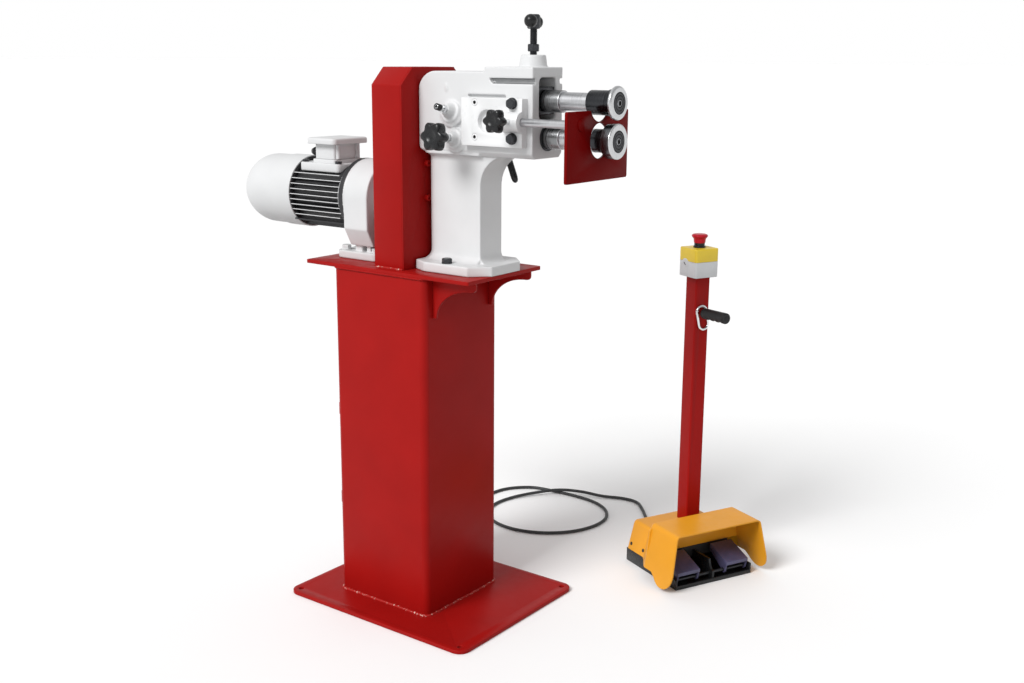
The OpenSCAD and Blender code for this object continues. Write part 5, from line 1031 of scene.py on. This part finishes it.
def make_grip():
    tilt = math.radians(2)
    at = CONSOLE @ frame_at((POST_A, POST_B, 607), (math.cos(tilt), 0, math.sin(tilt)))
    x0, l = 28.8, 80
    bm = bmesh.new()
    seg, n = 40, 60
    down = (at.inverted().to_3x3() @ Vector((0, 0, -1))).normalized()
    rings = []
    for i in range(n + 1):
        t = i / n
        x = x0 + l * t
        edge = min(1, min(t, 1 - t) * l / 2.2)
        edge = math.sqrt(max(0, 1 - (1 - edge) ** 2)) * 0.16 + 0.84
        wave = 0.5 - 0.5 * math.cos(2 * math.pi * (t * 4.3 + 0.1))
        pts = []
        for k in range(seg):
            a = 2 * math.pi * k / seg
            d = Vector((math.cos(a), math.sin(a), 0))
            under = max(0, d.dot(down)) ** 1.5
            r = 12.4 * edge - 2.2 * wave * under * (1 if 0.06 < t < 0.96 else 0)
            pts.append((r * d.x, r * d.y, x))
        rings.append(ring_of(bm, at, pts))
    for a, b in zip(rings, rings[1:]):
        bridge(bm, a, b, 0)
    bm.faces.new(rings[0])
    bm.faces.new(rings[-1])
    end = x0 + l
    rows = [(end - 0.4, 10.2, 1), (end + 0.3, 9.8, 1, 0.3), (end + 0.3, 6.2, 0, 0.2)]
    rows += [(end - 0.6, 5.8, 0), (end - 0.6, 0, 0)]
    lathe(bm, rows, at, 36)
    lathe(bm, [(14, 6, 2), (x0 + 1, 6, 2)], at, 24)
    piece("grip_sleeve", bm, "machine", ["rubber", "plastic", "bright"], ["hand_grip"],
          sharp=50)
    bm = bmesh.new()
    a0 = POST_A + 19.5 + 3
    path = []
    swing = Matrix.Rotation(math.radians(12), 3, "X")
    for start in (0, 180):
        for k in range(17):
            ang = math.radians(start + 180 * k / 16)
            spot = swing @ Vector((0, 13 * math.cos(ang), 13 * math.sin(ang) + (15 if start == 0 else -15)))
            path.append(CONSOLE @ (Vector((a0, POST_B, 597)) + spot))
    sweep(bm, path, 3.0, 16, 0, True)
    piece("grip_loop", bm, "machine", ["bright"], ["grip_ring"], sharp=60)


# Finishes of the CAD nodes that stay as they are
CARRIED = {
    "switchgear_panel": "zinc", "gear_frame": "gear", "shaft_bushes": "bolt", "lower_gear": "gear",
    "upper_gear": "gear", "idler_gear": "gear", "drive_gear": "gear", "output_shaft": "chrome",
    "motor_rotor": "gear", "cooling_fan": "plastic",
    "rear_swivel_bush": "bronze", "thrust_pad": "gear", "pedal_pin": "bolt", "pedal_switches": "plastic",
}


def dress_carried():
    for name, key in CARRIED.items():
        obj = NODES[name]
        if not obj.material_slots:
            obj.data.materials.append(MATS[key])
        for s in obj.material_slots:
            s.material = MATS[key]


# Floor and light
def make_sky():
    """Soft light from all round, weaker from +X, and as bright as the far floor along the horizon"""
    world = bpy.data.worlds.new("studio")
    world.use_nodes = True
    tree = world.node_tree
    coords = tree.nodes.new("ShaderNodeTexCoord")
    split = tree.nodes.new("ShaderNodeSeparateXYZ")
    tree.links.new(coords.outputs["Generated"], split.inputs["Vector"])
    def ranged(value, a0, a1, b0, b1):
        node = tree.nodes.new("ShaderNodeMapRange")
        node.interpolation_type = "SMOOTHSTEP"
        for socket, number in (("From Min", a0), ("From Max", a1), ("To Min", b0), ("To Max", b1)):
            node.inputs[socket].default_value = number
        tree.links.new(value, node.inputs["Value"])
        return node.outputs["Result"]
    mix = tree.nodes.new("ShaderNodeMix")
    tree.links.new(ranged(split.outputs["Z"], 0.05, 0.2, 1, 0), mix.inputs["Factor"])
    tree.links.new(ranged(split.outputs["X"], -0.5, 0.8, 0.70, 0.48), mix.inputs["A"])
    mix.inputs["B"].default_value = FAR_FLOOR
    below = tree.nodes.new("ShaderNodeMix")
    tree.links.new(ranged(split.outputs["Z"], -0.85, -0.25, 1, 0), below.inputs["Factor"])
    tree.links.new(mix.outputs["Result"], below.inputs["A"])
    below.inputs["B"].default_value = UNDER_LIGHT
    tree.links.new(below.outputs["Result"], tree.nodes["Background"].inputs["Strength"])
    tree.nodes["Background"].inputs["Color"].default_value = (1.0, 1.0, 1.0, 1)
    bpy.context.scene.world = world


def make_stage():
    bm = bmesh.new()
    rings = [ring_of(bm, Matrix.Identity(4), circle(r, -0.4, 96)) for r in (1000, 4000, 30000, 400000)]
    bm.faces.new(rings[0])
    for a, b in zip(rings, rings[1:]):
        bridge(bm, a, b)
    bm.transform(Matrix.Scale(MM, 4))
    mesh = bpy.data.meshes.new("floor")
    bm.to_mesh(mesh)
    bm.free()
    floor = link(bpy.data.objects.new("floor", mesh))
    mesh.materials.append(Shader("floor_paint", (0.93, 0.93, 0.93), 0.7, specular=0.2).vary(0.003, 2).mat)
    floor.visible_diffuse = False
    make_sky()
    sun = bpy.data.lights.new("key", "SUN")
    sun.angle, sun.energy = math.radians(24), 2.5
    lamp = link(bpy.data.objects.new("key", sun))
    lamp.rotation_euler = Vector((-0.12, -0.76, 0.64)).to_track_quat("Z", "Y").to_euler()
    bpy.context.scene.view_settings.view_transform = "Standard"


make_stage()
make_stand()
make_cover()
make_head()
make_side_plate()
make_knobs()
make_shafts()
make_fence()
make_screw()
make_motor()
make_console()
dress_carried()
